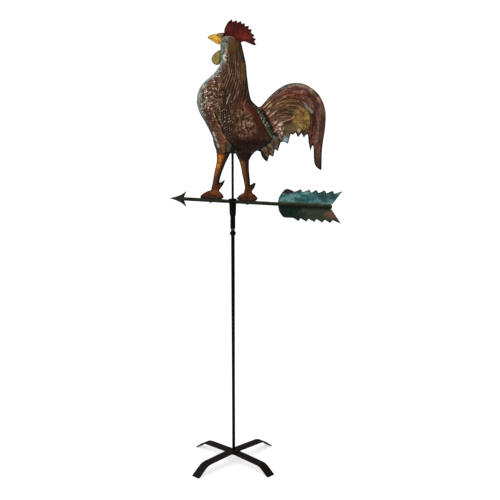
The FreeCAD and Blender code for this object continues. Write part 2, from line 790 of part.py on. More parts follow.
COMB_OUTLINE = [
    ("curve", [(-31, 1692), (-30, 1714), (-17, 1738), (0, 1750)]),
    ("line", [(0, 1750), (2, 1740), (18, 1746), (21, 1737), (35, 1743), (38, 1733), (50, 1735),
              (51, 1724), (67, 1725), (64, 1714), (78, 1712), (74, 1701), (89, 1690), (81, 1684),
              (94, 1677), (87, 1669), (96, 1656)]),
    ("curve", [(96, 1656), (84, 1656), (66, 1663), (50, 1669), (38, 1668)]),
    ("line", [(38, 1668), (30, 1658), (-24, 1676), (-31, 1686), (-31, 1692)]),
]
WATTLE_OUTLINE = [
    ("curve", [(-46.5, 1640), (-63, 1631), (-77, 1620), (-83, 1606), (-77, 1591), (-63, 1584),
               (-51, 1588), (-47, 1601)]),
    ("line", [(-47, 1601), (-38, 1603), (-38, 1638), (-46.5, 1640)]),
]
TAIL_OUTLINE = [
    ("curve", [(114, 1433), (157, 1478), (204, 1510), (250, 1520), (295, 1510), (337, 1478),
               (361, 1427), (363, 1366), (353, 1286), (351, 1203)]),
    ("curve", [(351, 1203), (335, 1212), (323, 1233), (319, 1293)]),
    ("line", [(319, 1293), (314, 1292), (308, 1273), (301, 1300), (297, 1333), (290, 1333),
              (282, 1321), (273, 1338), (259, 1322), (250, 1340), (240, 1330), (231, 1335),
              (221, 1297), (206, 1304), (193, 1303)]),
    ("line", [(193, 1303), (181, 1319.5), (167, 1326), (156, 1328)]),
    ("curve", [(156, 1328), (152, 1345), (137, 1374), (119, 1405), (94, 1430)]),
    ("line", [(94, 1430), (114, 1433)]),
]
TAIL_HOLLOW = [
    ("curve", [(117, 1430), (163, 1471), (206, 1500), (250, 1512), (290, 1502), (329, 1473),
               (353, 1426), (356, 1366), (346, 1288), (344, 1222)]),
    ("curve", [(344, 1222), (333, 1240), (329, 1272), (325, 1302)]),
    ("curve", [(325, 1302), (308, 1346), (260, 1352), (222, 1345), (190, 1324)]),
    ("curve", [(190, 1324), (172, 1342), (152, 1374), (135, 1405), (117, 1430)]),
]
UNDER_TAIL_OUTLINE = [
    ("curve", [(92, 1270), (110, 1276), (130, 1290), (146, 1306), (157, 1323)]),
    ("line", [(157, 1323), (168, 1322), (181, 1316), (193, 1300), (181, 1268), (170, 1276), (164, 1247),
              (148, 1253), (140, 1227)]),
    ("curve", [(140, 1227), (127, 1235), (117, 1249), (112, 1264)]),
    ("line", [(112, 1264), (92, 1270)]),
]


def tail_half(label, keep_right):
    """Half of the tail: a dished plate whose rim meets the other half on the mid-plane."""
    wall = size("shell_wall")
    body = new_body(label)
    outline = outline_sketch(body, label + "_outline", TAIL_OUTLINE)
    pad(body, outline, "dims.tail_half_thick", side="One side", reverse=keep_right)
    hollow = outline_sketch(body, label + "_hollow", TAIL_HOLLOW)
    dish = body.newObject("PartDesign::Pocket", label + "_dish")
    dish.Profile = hollow
    dish.Length = size("tail_half_thick") - wall
    dish.Reversed = not keep_right
    trim_to_skin(body, label + "_seat")
    return keep(body)


def beak():
    """A pointed beak: ellipses across X, its root cut to the face it is soldered on."""
    stations = [(size("beak_root"), 1681, 20, 13), (-60, 1680.5, 17.5, 10),
                (-80, 1684, 11.5, 6.5), (-96, 1685, 1.6, 1.2)]
    body = new_body("beak")
    sketches = []
    for i, (x, middle, half_height, half_width) in enumerate(stations):
        sketch = plane_sketch(body, f"beak_{i}", "YZ_Plane", x)
        centre = FreeCAD.Vector(0, middle, 0)
        up = centre + FreeCAD.Vector(0, half_height, 0)
        across = centre + FreeCAD.Vector(half_width, 0, 0)
        sketch.addGeometry(Part.Ellipse(up, across, centre), False)
        sketches.append(sketch)
    loft = body.newObject("PartDesign::AdditiveLoft", "beak_loft")
    loft.Profile = sketches[0]
    loft.Sections = sketches[1:]
    trim_to_skin(body, "beak_seat")
    return keep(body)


def leg(label, stations, foot, spur, screw):
    """A leg cast in one piece: shank, foot saddled on the bar, spur, and a tapped screw hole."""
    body = new_body(label)
    level_loft(body, label + "_shank", "AdditiveLoft", stations)
    wall = size("leg_wall")
    inner = [(z, front + wall, back - wall, half - wall, y) for z, front, back, half, y in stations]
    level_loft(body, label + "_hollow", "SubtractiveLoft", inner[:-1])
    pad(body, outline_sketch(body, label + "_foot", foot), "dims.foot_thick")
    pad(body, outline_sketch(body, label + "_spur", spur), "dims.spur_thick")
    bar_saddle(body, label + "_saddle")
    hole = circle_sketch(body, label + "_screw_hole", "XY_Plane", (str(screw), "0"),
                         "dims.screw_radius", "dims.bar_height")
    tapped = body.newObject("PartDesign::Pocket", label + "_screw_cut")
    tapped.Profile = hole
    tapped.Reversed = True
    tapped.setExpression("Length", "dims.screw_top - dims.bar_height")
    return keep(body)


def legs():
    sole = size("bar_height") + size("bar_radius") - 2.5
    front_foot = [
        ("line", [(-43, sole), (-134, sole), (-134, 1081)]),
        ("curve", [(-134, 1081), (-128, 1088), (-112, 1098), (-94, 1106)]),
        ("line", [(-94, 1106), (-59, 1106)]),
        ("curve", [(-59, 1106), (-55, 1096), (-47, 1089), (-43, 1081)]),
    ]
    rear_foot = [
        ("line", [(99, sole), (18.5, sole), (18.5, 1081)]),
        ("curve", [(18.5, 1081), (22, 1088), (34, 1096), (48, 1105)]),
        ("line", [(48, 1105), (76, 1105)]),
        ("curve", [(76, 1105), (83, 1096), (93, 1087), (99, 1081)]),
    ]
    front_spur = [("line", [(-60, 1137), (-52, 1141), (-36, 1150), (-42, 1129), (-52, 1114),
                            (-63, 1110)])]
    rear_spur = [("line", [(64, 1136), (73, 1140), (91, 1150), (89, 1134), (79, 1114),
                           (66, 1110)])]
    leg("front_leg", FRONT_LEG_STATIONS, front_foot, front_spur, FRONT_FOOT_SCREW)
    leg("rear_leg", REAR_LEG_STATIONS, rear_foot, rear_spur, REAR_FOOT_SCREW)


def foot_screws():
    """One pan-head screw under each foot, up through the bar."""
    seat = size("bar_height") - size("bar_radius") + 0.6
    pieces = []
    for place in (FRONT_FOOT_SCREW, REAR_FOOT_SCREW):
        at = FreeCAD.Vector(place, 0, seat)
        low = at - FreeCAD.Vector(0, 0, size("screw_head_height"))
        shank = Part.makeCylinder(size("screw_radius"), size("screw_top") - low.z - 1,
                                  low + FreeCAD.Vector(0, 0, 1))
        head = Part.makeCylinder(size("screw_head_radius"), size("screw_head_height"), low)
        rim = [edge for edge in head.Edges if abs(edge.BoundBox.ZMax - low.z) < 1e-6]
        head = head.makeFillet(size("screw_head_height") / 2, rim[:1])
        bar = Part.makeCylinder(size("bar_radius"), 40, FreeCAD.Vector(place - 20, 0,
                                size("bar_height")), FreeCAD.Vector(1, 0, 0))
        pieces.append(shank.fuse(head.cut(bar)))
    group = doc.addObject("Part::Feature", "foot_screws")
    group.Label = "foot_screws"
    group.Shape = Part.makeCompound(pieces)
    return keep(group)


def rooster():
    half_shell("body_shell_left", False)
    half_shell("body_shell_right", True)
    socket()
    beak()
    flat_piece("comb", COMB_OUTLINE, "dims.comb_thick")
    flat_piece("wattle", WATTLE_OUTLINE, "dims.wattle_thick")
    tail_half("tail_shell_left", False)
    tail_half("tail_shell_right", True)
    flat_piece("under_tail_feathers", UNDER_TAIL_OUTLINE, "dims.under_tail_thick")
    legs()
    foot_screws()


def write_parts():
    """Stops on any failed feature or bad solid, then writes one STEP file for each piece."""
    doc.recompute()
    for item in doc.Objects:
        if "Invalid" in item.State or "Error" in item.State:
            raise RuntimeError(f"{item.Name} failed: {item.State}")
    for item in SUBPARTS:
        if item.Shape.isNull() or not item.Shape.isValid():
            raise RuntimeError(f"{item.Label} has no valid shape")
    os.makedirs("parts", exist_ok=True)
    for item in SUBPARTS:
        item.Shape.exportStep(f"parts/{item.Label}.step")
        box = item.Shape.BoundBox
        print(f"{item.Label:22s} {len(item.Shape.Solids)} solid(s) {item.Shape.Volume:10.0f} mm3",
              f"z {box.ZMin:.1f} to {box.ZMax:.1f}")


base()
mast()
rotor_hub()
arrow_bar()
fletching()
rivets()
arrowhead()
bar_plug()
rooster()
write_parts()
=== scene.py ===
import math

import bmesh
import bpy
import numpy as np
from mathutils import Matrix, Vector
from mathutils.geometry import delaunay_2d_cdt


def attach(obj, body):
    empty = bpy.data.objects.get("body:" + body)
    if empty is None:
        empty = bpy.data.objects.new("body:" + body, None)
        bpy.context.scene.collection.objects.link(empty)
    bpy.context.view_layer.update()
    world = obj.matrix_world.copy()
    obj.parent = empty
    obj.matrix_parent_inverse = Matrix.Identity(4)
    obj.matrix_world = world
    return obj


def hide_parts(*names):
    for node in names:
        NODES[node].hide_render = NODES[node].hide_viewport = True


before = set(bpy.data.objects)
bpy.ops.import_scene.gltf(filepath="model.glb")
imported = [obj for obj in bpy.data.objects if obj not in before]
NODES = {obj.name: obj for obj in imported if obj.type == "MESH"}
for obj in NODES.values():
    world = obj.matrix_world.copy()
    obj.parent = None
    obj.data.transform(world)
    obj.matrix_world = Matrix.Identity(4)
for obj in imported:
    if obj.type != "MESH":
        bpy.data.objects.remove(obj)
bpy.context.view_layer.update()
MM = 0.001

# Lengths below are millimetres in the shared frame, and colours are linear RGB. The rooster is
# drawn on its side view: x towards the tail, z up. A patch of skin that stands off the middle plane
# is coloured by the point of that plane that it hides when it is seen from a little ahead of the
# side: SLANT is how far ahead, and EYE_HEIGHT and EYE_REACH are where it is seen from.
SLANT = 0.39
EYE_HEIGHT = 1589
EYE_REACH = 3200
LUMINANCE = (0.2126, 0.7152, 0.0722)


# ---- noise and masks ----

def hashed(cells, seed):
    """A value from 0 to 1 for each row of whole numbers."""
    mixed = cells.astype(np.int64) @ np.array([73856093, 19349663, 83492791]) + seed * 2654435761
    mixed = (mixed ^ (mixed >> 13)) * 1274126177
    mixed = mixed ^ (mixed >> 16)
    return (mixed & 0xFFFF) / 65535.0


def tone_of(numbers, seed):
    """A value from 0 to 1 for each number, the same wherever the number is the same."""
    return hashed(np.column_stack([numbers, numbers * 0, numbers * 0]), seed)


def noise(points, grain, seed=0):
    """Smooth noise from 0 to 1, with lumps about grain wide (a number, or one for each axis)."""
    scaled = points / np.asarray(grain, float)
    low = np.floor(scaled)
    part = scaled - low
    part = part * part * (3 - 2 * part)
    total = np.zeros(len(points))
    for corner in np.ndindex(2, 2, 2):
        share = np.prod(np.where(corner, part, 1 - part), axis=1)
        total += share * hashed(low + np.array(corner), seed)
    return total


def rough_noise(points, grain, seed=0, layers=3):
    """Noise with finer and finer layers on top, still from 0 to 1."""
    weights = 0.55 ** np.arange(layers)
    return sum(weight * noise(points, np.asarray(grain, float) / 2 ** layer, seed + 17 * layer)
               for layer, weight in enumerate(weights)) / weights.sum()


def ramp(value, low, high):
    """0 below low, 1 above high and smooth between; falls instead when high is below low."""
    share = np.clip((value - low) / (high - low), 0, 1)
    return share * share * (3 - 2 * share)


def smooth_line(points, count):
    """Points along a smooth curve through the given ones, evenly spaced."""
    points = np.asarray(points, float)
    knots = np.vstack([2 * points[0] - points[1], points, 2 * points[-1] - points[-2]])
    fine = []
    share = np.linspace(0, 1, 24, endpoint=False)[:, None]
    for a, b, c, d in zip(knots, knots[1:], knots[2:], knots[3:]):
        bend = 2 * a - 5 * b + 4 * c - d
        twist = 3 * b - a - 3 * c + d
        fine.append(0.5 * (2 * b + (c - a) * share + bend * share ** 2 + twist * share ** 3))
    fine = np.vstack(fine + [points[-1:]])
    reach = np.concatenate([[0], np.cumsum(np.linalg.norm(np.diff(fine, axis=0), axis=1))])
    places = np.linspace(0, reach[-1], count)
    return np.column_stack([np.interp(places, reach, column) for column in fine.T])


def from_line(points, line):
    """Signed distance from a line (positive on its right) and the share of its length reached."""
    best = np.full(len(points), 1e9)
    side, share = np.zeros((2, len(points)))
    steps = np.linalg.norm(np.diff(line, axis=0), axis=1)
    reach = np.concatenate([[0], np.cumsum(steps)])
    for i, (start, end) in enumerate(zip(line, line[1:])):
        along = (end - start) / steps[i]
        offset = points - start
        run = np.clip(offset @ along, 0, steps[i])
        gap = offset - run[:, None] * along
        distance = np.linalg.norm(gap, axis=1)
        nearer = distance < best
        best[nearer] = distance[nearer]
        cross = offset[:, 0] * along[1] - offset[:, 1] * along[0]
        side[nearer] = np.where(cross[nearer] < 0, -1, 1)
        share[nearer] = (reach[i] + run[nearer]) / reach[-1]
    return best * side, share


def inside(points, corners):
    """How deep each point is inside a closed outline, negative outside it."""
    corners = np.asarray(corners, float)
    closed = np.vstack([corners, corners[:1]])
    distance, _ = from_line(points, closed)
    odd = np.zeros(len(points), bool)
    x, z = points.T
    for (ax, az), (bx, bz) in zip(closed, closed[1:]):
        if az == bz:
            continue
        crosses = (az > z) != (bz > z)
        odd ^= crosses & (x < (bx - ax) * (z - az) / (bz - az) + ax)
    return np.where(odd, np.abs(distance), -np.abs(distance))


def laps(across, along, rise=0.62):
    """Overlapping round-tipped scales, like tiles: how far down its own scale each point is (0 to
    1), how far off its middle (-0.5 to 0.5), and a number that tells the scales apart."""
    row = np.floor(along)
    depth, offset, name = np.zeros((3, len(along)))
    found = np.zeros(len(along), bool)
    for step in (1, 0):
        this_row = row - step
        shift = 0.5 * (this_row % 2)
        column = np.round(across - shift)
        off = across - shift - column
        tip = 1 + rise * (1 - 4 * off ** 2)
        run = (along - this_row) / tip
        mine = (~found) & (run <= 1)
        depth[mine] = run[mine]
        offset[mine] = off[mine]
        name[mine] = (this_row * 57 + column * 131)[mine]
        found |= mine
    return depth, offset, name


class Skin:
    """What a mesh is painted with: its points, side-view places, tint, its worn places and painted
    glints, and relief.
    """

    def __init__(self, mesh, tint, slanted=True):
        self.mesh = mesh
        count = len(mesh.vertices)
        co = np.zeros(count * 3)
        mesh.vertices.foreach_get("co", co)
        self.co = co.reshape(-1, 3) / MM
        normals = np.zeros(count * 3)
        mesh.vertices.foreach_get("normal", normals)
        self.normals = normals.reshape(-1, 3)
        off = np.abs(self.co[:, 1]) if slanted else np.zeros(count)
        x = self.co[:, 0] - SLANT * off
        z = self.co[:, 2] + (self.co[:, 2] - EYE_HEIGHT) * off / EYE_REACH
        self.flat = np.column_stack([x, z])
        self.solid = np.column_stack([self.co[:, 0], off, self.co[:, 2]])
        self.tint = np.tile(np.asarray(tint, float), (count, 1))
        # worn places and painted glints, which the finish makes lighter
        self.wear_and_glint = np.zeros(count)
        self.relief = np.zeros(count)

    def paint(self, colour, mask):
        mask = np.clip(mask, 0, 1)[:, None]
        self.tint = self.tint * (1 - mask) + np.asarray(colour, float) * mask

    def shade(self, factor, mask=1.0):
        """Multiplies the tint by factor where the mask is 1."""
        self.tint *= (1 + (np.asarray(factor, float) - 1) * mask).reshape(-1, 1)

    def deepen(self, power, pivot=0.055):
        """Makes tints darker than the pivot darker still, and lighter ones lighter."""
        light = self.tint @ LUMINANCE
        self.shade(np.clip(light / pivot, 0.05, 8) ** power)

    def line_mask(self, points, width, soft=1.5):
        distance, share = from_line(self.flat, smooth_line(points, 40))
        return ramp(np.abs(distance), width / 2 + soft, width / 2 - soft), share

    def spot_mask(self, centre, radii, soft=0.4):
        """1 inside an ellipse, falling to 0 over soft times its size."""
        reach = np.linalg.norm((self.flat - np.array(centre)) / np.array(radii), axis=1)
        return ramp(reach, 1 + soft, 1 - soft)

    def spot(self, colour, centre, radii, soft, strength=1.0):
        """Paints an ellipse of one colour."""
        self.paint(colour, self.spot_mask(centre, radii, soft) * strength)

    def keep(self):
        """Moves the points by the relief and writes the tint, the worn places and painted glints
        onto the mesh.
        """
        moved = (self.co + self.normals * self.relief[:, None]) * MM
        self.mesh.vertices.foreach_set("co", moved.astype(np.float32).ravel())
        tint = self.mesh.attributes.new("tint", "FLOAT_COLOR", "POINT")
        colour = np.column_stack([np.clip(self.tint, 0, 1), np.ones(len(self.tint))])
        tint.data.foreach_set("color", colour.astype(np.float32).ravel())
        wear_and_glint = self.mesh.attributes.new("wear_and_glint", "FLOAT", "POINT")
        wear_and_glint.data.foreach_set("value", np.clip(self.wear_and_glint, 0, 1).astype(np.float32))
        self.mesh.update()


# ---- meshes ----

def new_object(name, mesh):
    obj = bpy.data.objects.new(name, mesh)
    bpy.context.scene.collection.objects.link(obj)
    return obj


def applied(obj):
    """Turns the object's modifiers into its mesh."""
    graph = bpy.context.evaluated_depsgraph_get()
    made = bpy.data.meshes.new_from_object(obj.evaluated_get(graph))
    obj.modifiers.clear()
    old = obj.data
    obj.data = made
    bpy.data.meshes.remove(old)


def smooth_faces(mesh):
    mesh.polygons.foreach_set("use_smooth", np.ones(len(mesh.polygons), bool))
    mesh.update()


def add_rings(bm, rings):
    """A closed skin through rings of points, the first and the last one capped."""
    made = [[bm.verts.new(Vector(p) * MM) for p in ring] for ring in rings]
    count = len(made[0])
    for low, high in zip(made, made[1:]):
        for i in range(count):
            j = (i + 1) % count
            bm.faces.new((low[i], low[j], high[j], high[i]))
    bm.faces.new(made[0][::-1])
    bm.faces.new(made[-1])


def level_rings(stations, step=6, count=48):
    """Rings round a level loft through (height, front, back, half width, centre y)."""
    rows = np.asarray(stations, float)
    rows = smooth_line(rows, max(4, int(abs(rows[-1, 0] - rows[0, 0]) / step)))
    turn = np.linspace(0, 2 * math.pi, count, endpoint=False)
    rings = []
    for z, front, back, half, y in rows:
        x = (front + back) / 2 + (back - front) / 2 * np.cos(turn)
        rings.append(np.column_stack([x, y + half * np.sin(turn), np.full(count, z)]))
    return rings


def limb_rings(points, count=20, step=3):
    """Rings round a limb through (x, y, z, radius in the side view, radius across)."""
    rows = np.asarray(points, float)
    length = np.linalg.norm(np.diff(rows[:, :3], axis=0), axis=1).sum()
    rows = smooth_line(rows, max(5, int(length / step)))
    ahead = np.gradient(rows[:, :3], axis=0)
    turn = np.linspace(0, 2 * math.pi, count, endpoint=False)
    rings = []
    for (x, y, z, deep, wide), way in zip(rows, ahead):
        way = way / np.linalg.norm(way)
        side = np.cross(way, (0, 1, 0))
        side = side / np.linalg.norm(side)
        across = np.cross(side, way)
        ring = np.outer(np.cos(turn), side * deep) + np.outer(np.sin(turn), across * wide)
        rings.append(ring + np.array([x, y, z]))
    return rings


def grown(name, lumps, voxel, smooth):
    """One skin grown over several lumps, each a list of rings, with soft joins."""
    bm = bmesh.new()
    for rings in lumps:
        add_rings(bm, rings)
    bmesh.ops.recalc_face_normals(bm, faces=bm.faces)
    mesh = bpy.data.meshes.new(name)
    bm.to_mesh(mesh)
    bm.free()
    obj = new_object(name, mesh)
    melt = obj.modifiers.new("melt", "REMESH")
    melt.mode = "VOXEL"
    melt.voxel_size = voxel * MM
    ease = obj.modifiers.new("ease", "SMOOTH")
    ease.iterations = smooth
    ease.factor = 0.5
    divide = obj.modifiers.new("fine", "SUBSURF")
    divide.levels = divide.render_levels = 1
    applied(obj)
    smooth_faces(obj.data)
    return obj


def run_points(runs, step):
    """A closed outline of ("curve" or "line", points) runs, cut into steps that keep corners."""
    made = []
    for kind, points in runs:
        points = np.asarray(points, float)
        if kind == "curve":
            length = np.linalg.norm(np.diff(points, axis=0), axis=1).sum()
            made.append(smooth_line(points, max(3, int(length / step) + 1))[:-1])
            continue
        for start, end in zip(points, points[1:]):
            count = max(1, int(round(np.linalg.norm(end - start) / step)))
            share = np.linspace(0, 1, count, endpoint=False)[:, None]
            made.append(start + (end - start) * share)
    return np.vstack(made)


def sheet_points(outline, step):
    """The outline and an even net of points inside it, with the triangles that join them."""
    low = outline.min(0)
    high = outline.max(0)
    rows = np.arange(low[1], high[1], step * 0.866)
    net = []
    for i, z in enumerate(rows):
        x = np.arange(low[0] + step * 0.5 * (i % 2), high[0], step)
        net.append(np.column_stack([x, np.full(len(x), z)]))
    net = np.vstack(net)
    net = net[inside(net, outline) > step * 0.55]
    points = np.vstack([outline, net])
    ring = [(i, (i + 1) % len(outline)) for i in range(len(outline))]
    flat = [Vector(p) for p in points]
    places, _, triangles, _, _, _ = delaunay_2d_cdt(flat, ring, [], 1, 1e-4)
    places = np.array([tuple(p) for p in places])
    return places, np.array([tuple(t) for t in triangles])


def plate(name, runs, thickness, step, half=False):
    """A plate on the middle plane with an embossed face on each side, or on the left side only, and
    its outline. thickness(points, depth) gives how far the face stands off the plane at each (x, z)
    point, from how deep inside the outline it is."""
    outline = run_points(runs, step)
    places, triangles = sheet_points(outline, step)
    a, b, c = (places[triangles[:, i]] for i in range(3))
    area = (b[:, 0] - a[:, 0]) * (c[:, 1] - a[:, 1]) - (b[:, 1] - a[:, 1]) * (c[:, 0] - a[:, 0])
    triangles = np.where((area > 0)[:, None], triangles, triangles[:, ::-1])
    rise = thickness(places, np.maximum(inside(places, outline), 0))
    count = len(places)
    left = np.column_stack([places[:, 0], -rise, places[:, 1]])
    right = np.column_stack([places[:, 0], rise * (not half), places[:, 1]])
    edges = {}
    for face in triangles.tolist():
        for i, j in zip(face, face[1:] + face[:1]):
            if not edges.pop((j, i), False):
                edges[i, j] = True
    faces = triangles.tolist() + (triangles[:, ::-1] + count).tolist()
    faces += [(i, i + count, j + count, j) for i, j in edges]
    mesh = bpy.data.meshes.new(name)
    mesh.from_pydata((np.vstack([left, right]) * MM).tolist(), [], faces)
    mesh.validate()
    smooth_faces(mesh)
    return new_object(name, mesh), outline


# ---- materials ----

def node(tree, kind, inputs=(), **settings):
    """A new shader node, with some settings and input values."""
    made = tree.nodes.new("ShaderNode" + kind)
    for key, value in settings.items():
        setattr(made, key, value)
    for key, value in dict(inputs).items():
        made.inputs[key].default_value = value
    return made


def finish(name, tint, rough, metal=0.0, gloss=0.3, grain=60.0, bump=0.25, spread=0.45, wear_and_glint=None,
           above=None):
    """A patinated surface. tint is one colour, or None for the mesh's own painted tint; rough gives
    the lowest and highest roughness; grain is how many mottles there are in a metre; above is the
    lighter tint of a painted highlight on faces that look up, as if lit from above."""
    material = bpy.data.materials.new(name)
    material.use_nodes = True
    tree = material.node_tree
    link = tree.links.new
    shader = tree.nodes["Principled BSDF"]
    shader.inputs["Metallic"].default_value = metal
    shader.inputs["Specular IOR Level"].default_value = gloss
    place = node(tree, "TexCoord")
    mottle = node(tree, "TexNoise", {"Scale": grain, "Detail": 6, "Roughness": 0.6})
    speck = node(tree, "TexNoise", {"Scale": grain * 6, "Detail": 4})
    for texture in (mottle, speck):
        link(place.outputs["Object"], texture.inputs["Vector"])

    middle = {"From Min": 0.3, "From Max": 0.7}
    shift = node(tree, "MapRange", {**middle, "To Min": 1 - spread, "To Max": 1 + spread})
    link(mottle.outputs["Fac"], shift.inputs["Value"])
    coloured = node(tree, "Mix", data_type="RGBA", blend_type="MULTIPLY")
    coloured.inputs["Factor"].default_value = 1
    if tint is None:
        own = node(tree, "Attribute", attribute_name="tint")
        link(own.outputs["Color"], coloured.inputs["A"])
    elif above is None:
        coloured.inputs["A"].default_value = (*tint, 1)
    else:
        # painted highlight: faces that look up take the above tint, as if lit from above
        shape = node(tree, "NewGeometry")
        upward = node(tree, "SeparateXYZ")
        top_light = node(tree, "MapRange", {"From Min": -0.1, "From Max": 0.4},
                       interpolation_type="SMOOTHSTEP")
        both = node(tree, "Mix", data_type="RGBA")
        both.inputs["A"].default_value = (*tint, 1)
        both.inputs["B"].default_value = (*above, 1)
        link(shape.outputs["Normal"], upward.inputs["Vector"])
        link(upward.outputs["Z"], top_light.inputs["Value"])
        link(top_light.outputs["Result"], both.inputs["Factor"])
        link(both.outputs["Result"], coloured.inputs["A"])
    link(shift.outputs["Result"], coloured.inputs["B"])
    colour = coloured.outputs["Result"]
    # worn places and painted glints take the lighter wear tint, speckled
    if wear_and_glint is not None:
        wear_glint_mix = node(tree, "Mix", data_type="RGBA")
        wear_glint_share = node(tree, "Attribute", attribute_name="wear_and_glint")
        share = node(tree, "Math", operation="MULTIPLY")
        link(wear_glint_share.outputs["Fac"], share.inputs[0])
        link(speck.outputs["Fac"], share.inputs[1])
        link(share.outputs["Value"], wear_glint_mix.inputs["Factor"])
        link(colour, wear_glint_mix.inputs["A"])
        wear_glint_mix.inputs["B"].default_value = (*wear_and_glint, 1)
        colour = wear_glint_mix.outputs["Result"]
    link(colour, shader.inputs["Base Color"])

    shine = node(tree, "MapRange", {**middle, "To Min": rough[0], "To Max": rough[1]})
    link(speck.outputs["Fac"], shine.inputs["Value"])
    link(shine.outputs["Result"], shader.inputs["Roughness"])

    dents = node(tree, "Bump", {"Strength": bump, "Distance": 0.001})
    link(speck.outputs["Fac"], dents.inputs["Height"])
    link(dents.outputs["Normal"], shader.inputs["Normal"])
    return material


def dress(obj, material):
    obj.data.materials.clear()
    obj.data.materials.append(material)


def place(obj, material, slot, *nodes):
    """Finishes a piece of the rooster or the arrow, which stands in for CAD nodes."""
    dress(obj, material)
    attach(obj, "vane")
    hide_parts(*nodes)


# ---- rooster: body ----

# Level sections of the body, as in the CAD shells: height, front, back, half width.
BODY_STATIONS = [
    (1262, -62, 88, 25), (1275, -67, 116, 33), (1295, -74, 148, 41), (1320, -84, 164, 48),
    (1345, -96, 161, 53), (1375, -113, 146, 57), (1405, -132, 128, 60), (1434, -142, 97, 60),
    (1455, -143, 74.5, 58), (1490, -135, 65, 53), (1520, -112, 61, 47), (1547, -79, 57, 40),
    (1570, -57, 55, 36), (1595, -46, 52, 33), (1640, -46, 41, 30), (1665, -45, 34, 26),
    (1683, -40, 14, 17), (1688, -34, 0, 10),
]
BELLY = [(1254, -24, 32, 13), (1256, -46, 58, 19)]
FRONT_THIGH = [(1330, -76, -2, 24, -17), (1290, -70, 0, 23, -15), (1268, -62, -2, 19, -13.5),
               (1254, -61.5, -4, 17.5, -12.5)]
REAR_THIGH = [(1330, 0, 112, 26, 17), (1290, 2, 108, 25, 15), (1266, 5, 92, 21, 13.5),
              (1250, 10, 76, 17.5, 12), (1238, 16, 68, 16, 11.2), (1229, 21, 65.5, 14.5, 10.3)]

DARK = (0.014, 0.008, 0.006)
BLACK = (0.004, 0.004, 0.003)
BROWN = (0.062, 0.03, 0.018)
MAROON = (0.075, 0.019, 0.013)
RUST = (0.115, 0.045, 0.022)
PINK = (0.4, 0.27, 0.21)
PALE = (0.6, 0.6, 0.54)
OCHRE = (0.135, 0.068, 0.02)
GREEN_BLACK = (0.026, 0.032, 0.022)

WING_EDGE = [(-38, 1530), (-50, 1500), (-62, 1465), (-74, 1430), (-74, 1403), (-64, 1376),
             (-50, 1349), (-38, 1322), (-18, 1296), (8, 1268), (32, 1241)]
NECK_FRONT = [(-22, 1655), (-24, 1610), (-30, 1570), (-46, 1530), (-70, 1490), (-97, 1450),
              (-112, 1425)]
NECK_BACK = [(40, 1655), (47, 1620), (54, 1584), (58, 1548), (59, 1511), (54, 1480), (44, 1450),
             (36, 1425)]
RUMP_EDGE = [(86, 1438), (93, 1422), (112, 1385), (127, 1354), (143, 1331), (160, 1310)]
CUFF = [(118, 1424), (134, 1400), (152, 1368), (166, 1336), (172, 1318)]
# The breast's scales fan out from a point: how wide they are, and how many rows to a radian.
CHEST, BREAST_SCALE, BREAST_ROWS = (-10, 1440), 8.4, 12.5
# The wing's scales: slant in degrees, length of a row, width of a scale.
WING_SLOPE, WING_ROW, WING_SCALE = 62, 10.0, 8.6
# How many strands lie across the neck.
STRANDS = 11
# The flank's dark arcs turn about a point: how deep a row is, and how many feathers to a radian.
ARC_CENTRE, ARC_ROW, ARC_FEATHERS = (56, 1343), 10.5, 5
EYE, EYE_SHAPE = (-22, 1669.5), (1.25, 1.0)
# Single bright strokes of painted highlight: line, width, tint.
STROKES = [
    ([(-9, 1476), (-17, 1459), (-24, 1442)], 3.0, (0.36, 0.34, 0.29)),
    ([(22, 1486), (15, 1474), (10, 1464)], 2.4, (0.24, 0.16, 0.11)),
    ([(56, 1459), (46, 1438), (51, 1413)], 2.2, (0.3, 0.18, 0.12)),
    ([(25, 1590), (23, 1554), (31, 1521), (43, 1497)], 2.4, (0.25, 0.16, 0.13)),
    ([(-1, 1566), (3, 1542), (12, 1519)], 2.4, (0.24, 0.17, 0.14)),
    ([(-16, 1590), (-14, 1566), (-9, 1545)], 2.2, (0.2, 0.14, 0.12)),
]


def neck_flow(flat):
    """How far across the neck each point is, 0 at the throat side and 1 at the back."""
    front = smooth_line(NECK_FRONT, 40)
    back = smooth_line(NECK_BACK, 40)
    left = np.interp(flat[:, 1], front[::-1, 1], front[::-1, 0])
    right = np.interp(flat[:, 1], back[::-1, 1], back[::-1, 0])
    return (flat[:, 0] - left) / (right - left)


